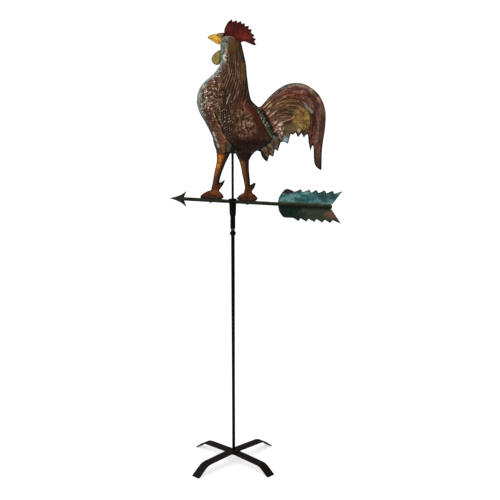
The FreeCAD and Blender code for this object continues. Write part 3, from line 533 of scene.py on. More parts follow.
def body_masks(skin):
    """The places, noises and masks that the regions of the body are painted by, by name."""
    # noises from broad to fine, and places shifted so that rows of feathers don't run dead straight
    flat = skin.flat
    x, z = flat.T
    soft = rough_noise(skin.solid, 30, 3)
    fine = rough_noise(skin.solid, 9, 5)
    grit = rough_noise(skin.solid, 4.6, 8)
    ragged = rough_noise(skin.solid, (4.8, 4.8, 6), 35)
    wobble = 10 * (soft - 0.5)
    bend = np.column_stack([noise(skin.solid, 17, 71), noise(skin.solid, 17, 72)]) - 0.5
    bent = flat + 8 * bend
    facing = np.abs(skin.normals[:, 1])
    wing_side, rump_side, cuff_side = (from_line(flat, smooth_line(line, count))[0] for line, count
                                       in ((WING_EDGE, 50), (RUMP_EDGE, 40), (CUFF, 30)))
    across = neck_flow(flat)
    heights, fronts, _, _ = zip(*BODY_STATIONS)
    from_front = x - np.interp(z, heights, fronts)

    # the head, the neck with its strands, the breast, all behind it, the wing's dots and the rump
    head = ramp(z + 0.25 * x + wobble * 0.5, 1628, 1646)
    strand = across * STRANDS + 1.1 * (noise(skin.solid, (26, 26, 70), 11) - 0.5)
    strand_tone = tone_of(np.floor(strand), 21)
    ends = np.interp(across, [-0.1, 0.3, 0.6, 1.0], [1545, 1494, 1446, 1440])
    ends = ends + 34 * (strand_tone - 0.5) + 10 * (fine - 0.5)
    neck = ((1 - head) * ramp(z, ends - 7, ends + 7) * ramp(across, -0.12, 0.06)
            * ramp(across, 1.2, 1.06))
    behind = ramp(wing_side, 2, -4)
    breast = 1 - behind
    rump = ramp(rump_side, 2, -2) * ramp(z, 1298, 1322) * ramp(z, 1440, 1430)
    start = np.interp(z, [1312, 1374, 1415], [3, 14, 24])
    reach = np.interp(z, [1312, 1333, 1374, 1415], [28, 40, 62, 70]) + 0.6 * wobble
    column = behind * (1 - neck) * ramp(-wing_side, reach, reach - 10) * ramp(z, 1288, 1304)
    return dict(flat=flat, x=x, z=z, bent=bent, facing=facing, soft=soft, fine=fine, grit=grit,
                ragged=ragged, wobble=wobble, from_front=from_front, across=across, strand=strand,
                strand_tone=strand_tone, wing_side=wing_side, rump_side=rump_side,
                cuff_side=cuff_side, head=head, neck=neck, breast=breast, behind=behind,
                start=start, column=column, rump=rump)


def paint_breast(skin, x, z, bent, facing, soft, fine, grit, breast, **_):
    """Rows of lapped scales that follow the swell of the chest."""
    turn = np.arctan2(bent[:, 1] - CHEST[1], -(bent[:, 0] - CHEST[0]))
    reach = np.linalg.norm(bent - CHEST, axis=1)
    depth, _, name = laps(reach / BREAST_SCALE, -turn * BREAST_ROWS)
    tone = tone_of(name, 7)
    other = tone_of(name, 8)
    skin.relief += breast * (0.9 * depth ** 1.5 - 0.3) * ramp(facing, 0.3, 0.6)
    skin.paint(MAROON, breast * ramp(tone, 0.5, 0.8) * 0.7)
    skin.paint(RUST, breast * ramp(z, 1400, 1370) * ramp(other, 0.4, 0.8) * 0.7)
    skin.paint(DARK, breast * ramp(depth + 0.3 * (grit - 0.5), 0.5, 0.2) * 0.9)
    # painted highlights on the tips of the scales, stronger on the upper breast; the brightest are
    # pink and pale
    lit = ramp(depth + 0.5 * (grit - 0.5), 0.6, 0.8) * ramp(other + 0.6 * (fine - 0.5), 0.28, 0.5)
    upper = ramp(z, 1352, 1425)
    skin.paint((0.19, 0.125, 0.09), breast * lit * (0.25 + 0.65 * upper) * (0.5 + 0.5 * fine))
    skin.paint((0.13, 0.075, 0.028), breast * lit * ramp(soft, 0.5, 0.62) * ramp(x, -90, -60) * 0.7)
    crest_highlight = lit * ramp(grit, 0.48, 0.58) * ramp(tone, 0.2, 0.45) * upper * breast
    skin.paint(PINK, crest_highlight * 0.9)
    skin.paint(PALE, crest_highlight * ramp(other, 0.6, 0.8) * ramp(x, -55, -90) * 0.8)


def paint_throat(skin, z, fine, grit, from_front, breast, **_):
    """Pale blue-green patina down the throat and the front of the breast; its palest flecks are
    painted reflection, and a dark line of painted shade runs along the front outline.
    """
    width = 7 + 15 * ramp(z, 1365, 1425)
    strip = (ramp(from_front, width + 20 * (fine - 0.5), 0.2 * width) * ramp(z, 1272, 1295)
             * ramp(z, 1640, 1600))
    skin.paint((0.095, 0.135, 0.135), strip * (0.4 + 0.5 * fine))
    skin.paint((0.17, 0.22, 0.21), strip * ramp(grit, 0.44, 0.56) * 0.8)
    # painted reflection: the palest flecks on the strip
    skin.paint((0.42, 0.45, 0.41), strip * ramp(grit, 0.6, 0.68) * ramp(fine, 0.45, 0.6) * 0.7)
    patch = skin.spot_mask((-108, 1452), (17, 24), 0.7) * breast
    skin.paint((0.24, 0.28, 0.25), patch * ramp(fine, 0.46, 0.6) * ramp(grit, 0.4, 0.55) * 0.7)
    sheen, _ = skin.line_mask([(-79, 1330), (-69, 1306), (-58, 1278)], 9, 4)
    skin.paint((0.24, 0.3, 0.29), sheen * (0.2 + 0.7 * ramp(grit, 0.36, 0.56)))
    # painted shade: a dark line along the front outline, where the body turns away
    skin.paint((0.01, 0.018, 0.02), ramp(from_front, 10, 4) * ramp(z, 1410, 1375)
               * ramp(z, 1256, 1264) * 0.85)
    skin.spot((0.13, 0.048, 0.032), (-50, 1320), (9, 17), 0.6, 0.6)


def paint_hackles(skin, z, facing, fine, grit, across, strand, strand_tone, head, neck, **_):
    """Long strands down the neck."""
    ridge = 0.5 - 0.5 * np.cos(2 * math.pi * (strand - np.floor(strand)))
    skin.relief += neck * 1.2 * (ridge - 0.5) * ramp(facing, 0.25, 0.5)
    skin.paint((0.062, 0.031, 0.019), neck)
    skin.paint((0.09, 0.034, 0.022), neck * ramp(strand_tone, 0.5, 0.7) * 0.7)
    skin.paint(DARK, neck * ramp(ridge + 0.3 * (fine - 0.5), 0.45, 0.12) * 0.9)
    flow = noise(np.column_stack([np.floor(strand) * 9.0, z / 26, 0 * z]), 1, 13)
    # painted highlights along the ridges of the strands
    bright = neck * ramp(ridge + 0.4 * (grit - 0.5), 0.66, 0.92) * ramp(flow, 0.36, 0.62)
    skin.paint((0.21, 0.125, 0.095), bright * (0.35 + 0.6 * strand_tone))
    stripe = ramp(np.abs(across - 0.84), 0.12, 0.06) * ramp(z, 1518, 1545) * ramp(z, 1605, 1585)
    skin.paint(OCHRE, (1 - head) * stripe * 0.85)
    skin.paint((0.045, 0.038, 0.022), ramp(across, 0.5, 0.8) * ramp(z, 1585, 1615) * (1 - head)
               * 0.5)


def paint_wing(skin, z, bent, fine, grit, wing_side, start, column, **_):
    """Slanting scales in a dark column behind the gold line."""
    slope = math.radians(WING_SLOPE)
    height = bent[:, 1] - CHEST[1]
    down = (-height * math.sin(slope) + bent[:, 0] * math.cos(slope)) / WING_ROW
    over = (height * math.cos(slope) + bent[:, 0] * math.sin(slope)) / WING_SCALE
    depth, off, name = laps(over, down, 0.5)
    tone = tone_of(name, 9)
    skin.relief += column * (1.3 * depth ** 1.4 - 0.4)
    skin.paint((0.05, 0.026, 0.015), column * 0.9)
    core = column * ramp(-wing_side, start, start + 8)
    between = column * ramp(-wing_side, start + 8, start)
    skin.paint((0.08, 0.042, 0.02), between * ramp(z, 1345, 1385) * 0.8)
    skin.paint(DARK, between * ramp(fine + 0.3 * (grit - 0.5), 0.52, 0.42) * 0.85)
    skin.paint((0.2, 0.135, 0.095), between * ramp(grit, 0.53, 0.61) * ramp(fine, 0.42, 0.55)
               * 0.85)
    skin.paint(DARK, core * (0.45 + 0.55 * ramp(depth, 0.7, 0.4)))
    skin.paint(BLACK, core * ramp(depth + 0.3 * (grit - 0.5), 0.4, 0.15) * 0.9)
    dot = core * ramp(depth, 0.7, 0.86) * ramp(np.abs(off + 0.4 * (grit - 0.5)), 0.27, 0.1)
    skin.paint((0.15, 0.09, 0.055), dot * 0.8)
    skin.paint((0.4, 0.33, 0.26), dot * ramp(tone, 0.3, 0.75) * ramp(fine, 0.36, 0.5)
               * ramp(z, 1300, 1325) * 0.9)


def paint_flank(skin, x, z, bent, facing, soft, fine, grit, ragged, wobble, neck, behind, column,
                **_):
    """Tan flecks on brown, then darker rows in arcs towards the tail."""
    flank = behind * (1 - neck) * ramp(column, 0.6, 0.2)
    skin.paint((0.07, 0.03, 0.018), flank * ramp(z, 1318, 1345))
    skin.paint(MAROON, flank * ramp(soft, 0.46, 0.6) * 0.6)
    fleck = flank * skin.spot_mask((42, 1366), (52, 42), 0.45)
    skin.paint((0.14, 0.08, 0.05), fleck * ramp(ragged, 0.47, 0.57) * 0.7)
    skin.paint((0.29, 0.2, 0.14), fleck * ramp(ragged + 0.5 * (grit - 0.5), 0.58, 0.68)
               * (0.4 + 0.5 * fine))
    skin.paint((0.15, 0.085, 0.055), flank * ramp(z, 1392, 1412) * ramp(ragged, 0.55, 0.66) * 0.6)
    skin.paint(DARK, flank * ramp(ragged, 0.44, 0.36) * 0.7)
    from_arcs = bent - ARC_CENTRE
    arc_reach = np.linalg.norm(from_arcs, axis=1)
    swirl = np.arctan2(from_arcs[:, 1], from_arcs[:, 0])
    depth, _, _ = laps(swirl * ARC_FEATHERS, arc_reach / ARC_ROW, 0.25)
    rear = flank * ramp(arc_reach, 34, 50) * ramp(z, 1400, 1370)
    skin.relief += rear * (0.9 * depth ** 1.3 - 0.4) * ramp(facing, 0.3, 0.6)
    skin.paint((0.036, 0.016, 0.01), rear * 0.85)
    # reddish painted highlights on the tips of the arcs
    skin.paint((0.11, 0.042, 0.024), rear * ramp(depth, 0.74, 0.9) * ramp(fine, 0.4, 0.6) * 0.9)
    skin.paint(BLACK, rear * ramp(depth, 0.3, 0.08) * 0.7)
    low = behind * ramp(z + wobble, 1318, 1296) * (1 - column)
    skin.paint((0.013, 0.005, 0.003), low * 0.92)
    skin.paint((0.048, 0.017, 0.009), low * ramp(ragged, 0.52, 0.62) * 0.7)
    skin.paint((0.009, 0.02, 0.02), ramp(x - z * 0.9, -1075, -1055) * ramp(facing, 0.8, 0.5)
               * ramp(z, 1336, 1322) * 0.8)


def paint_strokes(skin, fine, grit, head, **_):
    """Single bright strokes of painted highlight, and a dark hollow beside them."""
    skin.spot(BLACK, (-32, 1474), (10, 26), 0.5, ramp(fine, 0.3, 0.5) * 0.7)
    for line, width, tint in STROKES:
        stroke, _ = skin.line_mask(line, width, 1.3)
        skin.paint(tint, stroke * (1 - head) * ramp(grit, 0.36, 0.5) * 0.8)
        skin.relief += 0.5 * stroke


def paint_wing_edge(skin, x, z, grit, wing_side, **_):
    """Gold line at the wing's edge, with a dark groove behind it."""
    gold = ramp(np.abs(wing_side), 3.6, 1.2) * ramp(z, 1418, 1402)
    skin.relief += gold * 1.0
    groove = ramp(np.abs(wing_side + 6), 4, 1.5) * ramp(z, 1418, 1402)
    skin.relief -= groove * 0.8
    skin.paint(BLACK, groove * 0.85)
    skin.paint((0.13, 0.058, 0.024), gold * 0.85)
    skin.paint((0.36, 0.22, 0.12), gold * ramp(grit, 0.5, 0.6) * ramp(z, 1285, 1310) * 0.8)
    skin.paint((0.075, 0.085, 0.06), gold * ramp(z, 1300, 1285) * 0.9)
    twin = ramp(np.abs(wing_side - 9), 2.6, 0.8) * ramp(z, 1300, 1290) * ramp(x, -12, 4)
    skin.paint((0.055, 0.065, 0.045), twin * 0.8)


def paint_rump(skin, z, soft, fine, grit, ragged, rump_side, cuff_side, rump, **_):
    """Smooth maroon band down the back, then the speckled rump and the cuff of the tail."""
    back_line = [(62, 1466), (74, 1427), (88, 1403), (103, 1377), (118, 1350)]
    band, share = skin.line_mask(back_line, 21, 5)
    band = band * ramp(share, 0.0, 0.2) * (1 - rump)
    skin.relief *= 1 - band * 0.85
    skin.paint((0.066, 0.014, 0.009), band * (0.75 + 0.2 * soft))
    skin.relief += rump * 1.3 * (ragged - 0.5)
    skin.paint(GREEN_BLACK, rump)
    skin.paint((0.095, 0.1, 0.062), rump * ramp(fine, 0.42, 0.56) * 0.8)
    skin.paint((0.42, 0.46, 0.4), rump * ramp(grit, 0.6, 0.68) * ramp(z, 1345, 1372) * 0.8)
    skin.paint(BLACK, ramp(np.abs(rump_side), 4, 1.5) * ramp(z, 1436, 1426) * ramp(z, 1318, 1340)
               * 0.6)
    skin.paint(BLACK, ramp(np.abs(cuff_side), 5, 2) * 0.8)


def paint_thighs(skin, x, z, fine, grit, **_):
    """The thighs, and the shadows under the belly between them."""
    thigh = skin.spot_mask((-37, 1286), (10, 34), 0.4)
    skin.paint((0.125, 0.046, 0.02), thigh * 0.9)
    skin.paint((0.26, 0.12, 0.06), thigh * ramp(grit, 0.54, 0.64) * 0.7)
    skin.paint(DARK, thigh * ramp(grit, 0.46, 0.38) * 0.7)
    skin.spot((0.02, 0.022, 0.008), (-27, 1276), (6, 20), 0.5, 0.7)
    skin.spot(BLACK, (0, 1268), (13, 17), 0.5, 0.9)
    skin.spot((0.03, 0.07, 0.064), (-15, 1275), (6, 14), 0.5, 0.4 + 0.6 * fine)
    skin.spot((0.02, 0.01, 0.005), (40, 1245), (26, 16), 0.5, 0.9)
    skin.spot((0.022, 0.042, 0.034), (24, 1249), (6, 14), 0.4, 0.3 + 0.7 * fine)
    skin.paint(BLACK, ramp(z, 1264, 1256) * ramp(x, -42, -26) * ramp(x, 40, 10) * 0.85)
    skin.paint(BLACK, ramp(z, 1262, 1254) * ramp(x, 52, 66) * 0.7)


def paint_head(skin, flat, x, z, fine, grit, wobble, head, **_):
    """Pale face, cheek, brow and eye, with painted highlights on the side of the face, the throat
    and the brow.
    """
    skin.paint((0.055, 0.034, 0.018), head)
    skin.paint((0.085, 0.05, 0.02), head * ramp(fine, 0.5, 0.65) * 0.7)
    face = ramp(x + 0.12 * (1640 - z) + wobble, -15, -25) * ramp(z, 1578, 1600)
    skin.paint((0.135, 0.15, 0.122), face * (0.8 + 0.2 * fine))
    skin.paint((0.025, 0.03, 0.027), face * ramp(rough_noise(skin.solid, 7, 41, 4), 0.46, 0.62)
               * 0.75)
    # painted highlight down the side of the face
    side = skin.spot_mask((-24, 1638), (4.5, 12), 0.5)
    skin.paint((0.27, 0.21, 0.17), side * (0.3 + 0.5 * grit))
    # painted highlight on the throat
    throat = skin.spot_mask((-28, 1613), (7, 13), 0.6) * ramp(grit + 0.5 * (fine - 0.5), 0.34, 0.5)
    skin.paint((0.55, 0.58, 0.51), throat * 0.85)
    skin.spot((0.17, 0.13, 0.12), (-26, 1586), (12, 17), 0.6, ramp(grit, 0.4, 0.6) * 0.7)
    cheek = skin.spot_mask((2, 1648), (14, 22), 0.25)
    skin.relief += cheek * 1.6
    skin.paint((0.08, 0.045, 0.012), cheek * 0.9)
    skin.paint((0.11, 0.034, 0.014), cheek * ramp(z, 1640, 1628) * 0.8)
    skin.spot((0.11, 0.03, 0.016), (2, 1675), (11, 8), 0.5, 0.4 + 0.5 * fine)
    brow, _ = skin.line_mask([(-25, 1683), (-16, 1687), (-4, 1687), (8, 1681)], 3.4, 1.6)
    skin.relief += brow * 1.2
    # painted highlight along the raised brow
    skin.paint((0.25, 0.13, 0.1), brow * 0.7)
    eye = np.linalg.norm((flat - EYE) / EYE_SHAPE, axis=1)
    skin.relief += 1.0 * ramp(np.abs(eye - 5.5), 2.0, 0.6) + 1.8 * ramp(eye, 4.0, 1.0)
    skin.paint(BLACK, ramp(eye, 4.4, 3.0))
    skin.paint((0.15, 0.13, 0.08), ramp(np.abs(eye - 5.6), 1.8, 0.8) * 0.6)


def paint_turned_away_shade(skin, z, facing, grit, **_):
    """Painted shade where the surface turns away from the side, along the middle where the two
    halves meet.
    """
    front_side = ramp(skin.normals[:, 0], 0, -0.5) * ramp(z, 1560, 1480)
    turned_away_shade = ramp(facing - 0.1 * front_side + 0.3 * (grit - 0.5), 0.42, 0.2)
    skin.paint((0.006, 0.011, 0.012), turned_away_shade * ramp(z, 1240, 1262) * 0.92)


def paint_body(obj):
    skin = Skin(obj.data, BROWN)
    masks = body_masks(skin)
    for paint_part in (paint_breast, paint_throat, paint_hackles, paint_wing, paint_flank,
                       paint_strokes, paint_wing_edge, paint_rump, paint_thighs, paint_head,
                       paint_turned_away_shade):
        paint_part(skin, **masks)
    skin.shade(0.78 + 0.44 * masks["soft"])
    skin.deepen(0.15)
    skin.tint *= (0.92, 0.87, 0.79)
    # worn places and painted glints go on the lightest places, mostly the painted highlights
    skin.wear_and_glint = 0.3 * ramp(skin.tint.mean(axis=1), 0.18, 0.35)
    skin.relief *= ramp(np.abs(skin.co[:, 1]), 0.5, 4)
    skin.keep()


def build_body(material):
    """The two pressed halves of head, neck, body and thighs."""
    stations = [(z, front, back, half, 0) for z, front, back, half in BELLY + BODY_STATIONS]
    crown = [(1691, -28, -8, 4, 0)]
    lumps = [level_rings(stations + crown, step=5, count=64)]
    lumps += [level_rings(FRONT_THIGH), level_rings(REAR_THIGH)]
    whole = grown("rooster_skin", lumps, voxel=3.2, smooth=5)
    paint_body(whole)
    for hand, side in (("left", 1), ("right", -1)):
        bm = bmesh.new()
        bm.from_mesh(whole.data)
        geometry = bm.verts[:] + bm.edges[:] + bm.faces[:]
        cut = bmesh.ops.bisect_plane(bm, geom=geometry, plane_co=(0, 0, 0), plane_no=(0, side, 0),
                                     clear_outer=True)
        rim = [e for e in cut["geom_cut"] if isinstance(e, bmesh.types.BMEdge)]
        bmesh.ops.edgenet_fill(bm, edges=rim)
        mesh = bpy.data.meshes.new("rooster_skin_" + hand)
        bm.to_mesh(mesh)
        bm.free()
        place(new_object(mesh.name, mesh), material, "body_copper", "body_shell_" + hand)
    bpy.data.objects.remove(whole)


# ---- rooster: head trimmings ----

COMB_RUNS = [
    ("curve", [(-31, 1692), (-30, 1714), (-17, 1738), (0, 1750)]),
    ("line", [(0, 1750), (2, 1740), (18, 1746), (21, 1737), (35, 1743), (38, 1733), (50, 1735),
              (51, 1724), (67, 1725), (64, 1714), (78, 1712), (74, 1701), (89, 1690), (81, 1684),
              (94, 1677), (87, 1669), (96, 1656)]),
    ("curve", [(96, 1656), (84, 1656), (66, 1663), (50, 1669), (38, 1668)]),
    ("line", [(38, 1668), (30, 1658), (-24, 1674), (-31, 1684), (-31, 1692)]),
]
WATTLE_RUNS = [
    ("curve", [(-44, 1641), (-61, 1633), (-76, 1621), (-83, 1606), (-77, 1591), (-63, 1584),
               (-51, 1588), (-45, 1601)]),
    ("line", [(-45, 1601), (-38, 1604), (-38, 1637), (-44, 1641)]),
]


def rounded(depth, reach):
    """A quarter round: 0 at the rim, 1 from reach inwards."""
    share = np.clip(depth / reach, 0, 1)
    return np.sqrt(1 - (1 - share) ** 2)


def swollen(rim, swell, reach):
    """The thickness of a plate that swells from its rim until reach inwards."""
    return lambda points, depth: rim + swell * rounded(depth, reach)


def build_comb(material):
    root = np.array([8, 1640])

    def folds(points):
        turn = np.arctan2(points[:, 1] - root[1], points[:, 0] - root[0])
        reach = np.linalg.norm(points - root, axis=1)
        return (0.5 + 0.5 * np.cos(turn * 24 + 0.6)) * ramp(reach, 38, 70)

    def thickness(points, depth):
        return 0.4 + 2.2 * rounded(depth, 4) - 0.9 * folds(points) * ramp(depth, 0, 4)

    obj, outline = plate("rooster_comb", COMB_RUNS, thickness, step=1.3)
    skin = Skin(obj.data, (0.062, 0.007, 0.0055))
    depth = inside(skin.flat, outline)
    soft = rough_noise(skin.solid, 16, 3)
    x, z = skin.flat.T
    skin.spot((0.15, 0.016, 0.01), (44, 1690), (20, 15), 0.7, 0.3 + 0.7 * soft)
    skin.paint((0.036, 0.007, 0.006), folds(skin.flat) * 0.5)
    skin.spot((0.05, 0.012, 0.008), (-12, 1690), (16, 9), 0.6, 0.7)
    edge_tint = (0.006, 0.003, 0.003)
    skin.paint(edge_tint, ramp(depth, 3.4, 1.4))
    reach = np.linalg.norm(skin.flat - root, axis=1)
    teeth = np.interp(np.arctan2(z - root[1], x - root[0]), [0.2, 0.6, 1.0, 1.4, 1.75],
                      [80, 91, 97, 102, 99])
    skin.paint(edge_tint, ramp(reach - teeth + 8 * (soft - 0.5), -5, 3) * 0.95)
    skin.shade(0.7 + 0.6 * soft)
    skin.wear_and_glint = 0.35 * ramp(depth, 4, 6) * ramp(soft, 0.6, 0.7)
    skin.keep()
    place(obj, material, "comb_red", "comb")


def build_wattle(material):
    obj, outline = plate("rooster_wattle", WATTLE_RUNS, swollen(0.6, 5.6, reach=15), step=1.2)
    skin = Skin(obj.data, (0.25, 0.2, 0.05))
    depth = inside(skin.flat, outline)
    soft = rough_noise(skin.solid, 9, 6)
    x, z = skin.flat.T
    skin.relief += 0.5 * np.cos((x + 0.35 * z) / 2.6) * ramp(depth, 3, 8)
    skin.paint((0.1, 0.09, 0.022), ramp(soft, 0.5, 0.7) * 0.8)
    skin.spot((0.13, 0.1, 0.035), (-68, 1618), (10, 14), 0.5, 0.7)
    skin.paint((0.038, 0.046, 0.012), ramp(x, -56, -47) * 0.85)
    skin.paint((0.018, 0.018, 0.008), ramp(z, 1626, 1636) * 0.85)
    skin.paint((0.01, 0.012, 0.006), ramp(depth, 4.2, 1.4))
    skin.wear_and_glint = 0.3 * ramp(soft, 0.62, 0.7)
    skin.keep()
    place(obj, material, "wattle_ochre", "wattle")


def build_beak(material):
    core = [(-30, 0, 1681, 21, 13), (-42, 0, 1680.5, 21.5, 13), (-52, 0, 1680, 21, 12),
            (-61, 0, 1681, 18.5, 10), (-73, 0, 1683.3, 14.5, 7.5), (-82, 0, 1684.3, 11, 5.5),
            (-90, 0, 1685, 7, 4), (-97.5, 0, 1685.5, 2.2, 1.8)]
    obj = grown("rooster_beak", [limb_rings(core, count=32, step=2)], voxel=1.2, smooth=2)
    skin = Skin(obj.data, (0.46, 0.26, 0.028), slanted=False)
    x, z = skin.flat.T
    fine = rough_noise(skin.solid, 7, 4)
    skin.spot((0.78, 0.27, 0.025), (-58, 1674), (9, 9), 0.6, ramp(fine, 0.4, 0.6) * 0.8)
    skin.paint((0.085, 0.065, 0.017), ramp(x + 1.2 * (z - 1690), -58, -50) * ramp(x, -66, -56)
               * (0.65 + 0.35 * fine))
    skin.paint((0.022, 0.018, 0.008), ramp(x + 0.8 * (z - 1690), -44, -32))
    skin.paint((0.03, 0.025, 0.012), ramp(z - 0.3 * (x + 60), 1696, 1700) * 0.85)
    # painted shade where the beak turns away from the side
    skin.paint((0.05, 0.035, 0.015), ramp(np.abs(skin.normals[:, 1]), 0.42, 0.2) * 0.8)
    skin.paint((0.03, 0.022, 0.012), ramp(x, -89, -93.5))
    mouth, _ = skin.line_mask([(-38, 1667), (-50, 1670), (-66, 1677), (-92, 1684)], 1.4, 0.9)
    skin.relief -= 0.9 * mouth
    skin.paint((0.2, 0.09, 0.012), mouth * 0.6)
    nostril = skin.spot_mask((-56, 1692), (4.2, 2.0), 0.35)
    skin.relief -= 1.4 * nostril
    skin.paint((0.02, 0.014, 0.008), nostril)
    skin.shade(0.75 + 0.5 * fine)
    skin.wear_and_glint = 0.2 * ramp(fine, 0.6, 0.7)
    skin.keep()
    place(obj, material, "beak_yellow", "beak")


# ---- rooster: feathers of the tail ----

TAIL_RUNS = [
    ("curve", [(114, 1433), (157, 1478), (204, 1510), (250, 1520), (295, 1510), (337, 1478),
               (361, 1427), (363, 1366), (353, 1286), (351, 1203)]),
    ("curve", [(351, 1203), (335, 1212), (323, 1233), (319, 1293)]),
    ("line", [(319, 1293), (314, 1292), (308, 1273), (301, 1300), (297, 1333), (290, 1333),
              (282, 1321), (273, 1338), (259, 1322), (250, 1340), (240, 1330), (231, 1335),
              (221, 1297), (206, 1304), (193, 1303)]),
    ("line", [(193, 1303), (181, 1319.5), (167, 1326), (158, 1328)]),
    ("curve", [(158, 1328), (154, 1345), (139, 1374), (121, 1405), (96, 1430)]),
    ("line", [(96, 1430), (114, 1433)]),
]
# Each feather: middle line from root to tip, half width, tint.
TAIL_FEATHERS = [
    ([(100, 1428), (150, 1465), (204, 1497), (252, 1505), (297, 1492), (330, 1458), (342, 1405),
      (341, 1340), (337, 1270), (349, 1206)], 20, (0.098, 0.046, 0.034)),
    ([(112, 1420), (160, 1448), (210, 1474), (256, 1478), (292, 1458), (312, 1418), (316, 1365),
      (312, 1320), (308, 1276)], 16, (0.115, 0.043, 0.026)),
    ([(122, 1408), (170, 1430), (215, 1449), (255, 1450), (283, 1425), (294, 1385), (291, 1350),
      (283, 1322)], 17, (0.15, 0.085, 0.032)),
    ([(132, 1392), (178, 1412), (216, 1422), (248, 1416), (266, 1390), (268, 1355), (260, 1324)],
     14, (0.13, 0.085, 0.045)),
    ([(140, 1376), (180, 1392), (212, 1396), (236, 1384), (246, 1360), (241, 1331)],
     12, (0.11, 0.06, 0.036)),
    ([(146, 1362), (180, 1374), (204, 1372), (220, 1350), (222, 1322), (220, 1299)],
     12, (0.1, 0.065, 0.045)),
    ([(152, 1348), (176, 1354), (194, 1346), (204, 1326), (206, 1304)], 11, (0.085, 0.055, 0.04)),
    ([(156, 1336), (172, 1338), (184, 1328), (192, 1306)], 9, (0.06, 0.05, 0.04)),
]
UNDER_RUNS = [
    ("curve", [(92, 1270), (108, 1278), (126, 1294), (142, 1312), (152, 1330)]),
    ("line", [(152, 1330), (168, 1329), (182, 1324), (194, 1306), (181, 1268), (170, 1276),
              (164, 1247), (148, 1253), (140, 1227)]),
    ("curve", [(140, 1227), (127, 1235), (117, 1249), (112, 1264)]),
    ("line", [(112, 1264), (92, 1270)]),
]
UNDER_FEATHERS = [
    ([(118, 1288), (128, 1262), (139, 1229)], 15, (0.125, 0.095, 0.045)),
    ([(134, 1300), (150, 1278), (163, 1249)], 13, (0.13, 0.095, 0.05)),
    ([(150, 1314), (168, 1296), (180, 1270)], 12, (0.105, 0.085, 0.05)),
    ([(160, 1322), (178, 1314), (191, 1301)], 9, (0.07, 0.065, 0.045)),
]


def feather_field(points, feathers):
    """Which feather lies on top at each point, the first one over the others, and where on it: its
    number, share of the length, offset from its middle (-1 to 1) and its relief."""
    top = np.full(len(points), -1e9)
    which = np.zeros(len(points), int)
    along, off, relief = np.zeros((3, len(points)))
    for i, (line, half, _) in enumerate(feathers):
        distance, share = from_line(points, smooth_line(line, 40))
        taper = half * (0.55 + 0.45 * ramp(share, 0, 0.35)) * (1 - 0.75 * ramp(share, 0.8, 1.0))
        across = distance / taper
        covered = np.abs(across) < 1
        level = -0.5 * i + 2.2 * np.clip(1 - np.abs(across), 0, 1) ** 0.6 - 40 * ~covered
        level = level - 8 * (np.abs(across) - 1) * ~covered
        higher = level > top
        top[higher] = level[higher]
        which[higher] = i
        along[higher] = share[higher]
        off[higher] = np.clip(across[higher], -1, 1)
        relief[higher] = 1.7 * (1 - np.clip(np.abs(across[higher]), 0, 1) ** 2)
    return which, along, off, relief


def draw_feathers(skin, feathers, glint):
    """Quills, barbs, edges and strokes of the feathers a plate is embossed with, and the number of
    the feather at each point."""
    which, along, off, relief = feather_field(skin.flat, feathers)
    lengths = np.array([np.linalg.norm(np.diff(np.array(line), axis=0), axis=1).sum()
                        for line, _, _ in feathers])
    tints = np.array([tint for _, _, tint in feathers])[which]
    run = along * lengths[which]
    lie = np.column_stack([run, off * 14 + which * 37, which * 11.0])
    stroke = rough_noise(lie, (26, 4.2, 1), 5, 2)
    blotch = rough_noise(skin.solid, 20, 8)
    grit = rough_noise(skin.solid, 5, 18)
    barb = 0.5 + 0.5 * np.cos(2 * math.pi * (run / 5.5 - np.abs(off) * 2.4))
    quill = ramp(np.abs(off), 0.14, 0.05)
    rim = ramp(np.abs(off), 0.74, 0.98)
    skin.relief += relief + 0.2 * barb * (1 - rim) + 0.6 * quill - 0.9
    skin.tint = tints * (0.5 + 1.0 * blotch)[:, None]
    skin.shade(0.85 + 0.2 * barb)
    skin.paint(MAROON, ramp(noise(lie, (34, 9, 1), 25), 0.5, 0.65) * 0.6)
    skin.paint(DARK, rim * 0.6)
    skin.paint((0.02, 0.011, 0.008), ramp(stroke, 0.44, 0.34) * 0.8)
    # painted highlights along the brightest strokes of the feathers
    lit = ramp(stroke + 0.25 * (grit - 0.5), 0.6, 0.7) * (1 - rim) * glint
    skin.paint((0.2, 0.115, 0.08), lit * 0.75)
    skin.paint((0.42, 0.29, 0.22), lit * ramp(grit, 0.55, 0.66) * ramp(blotch, 0.42, 0.58) * 0.8)
    return which


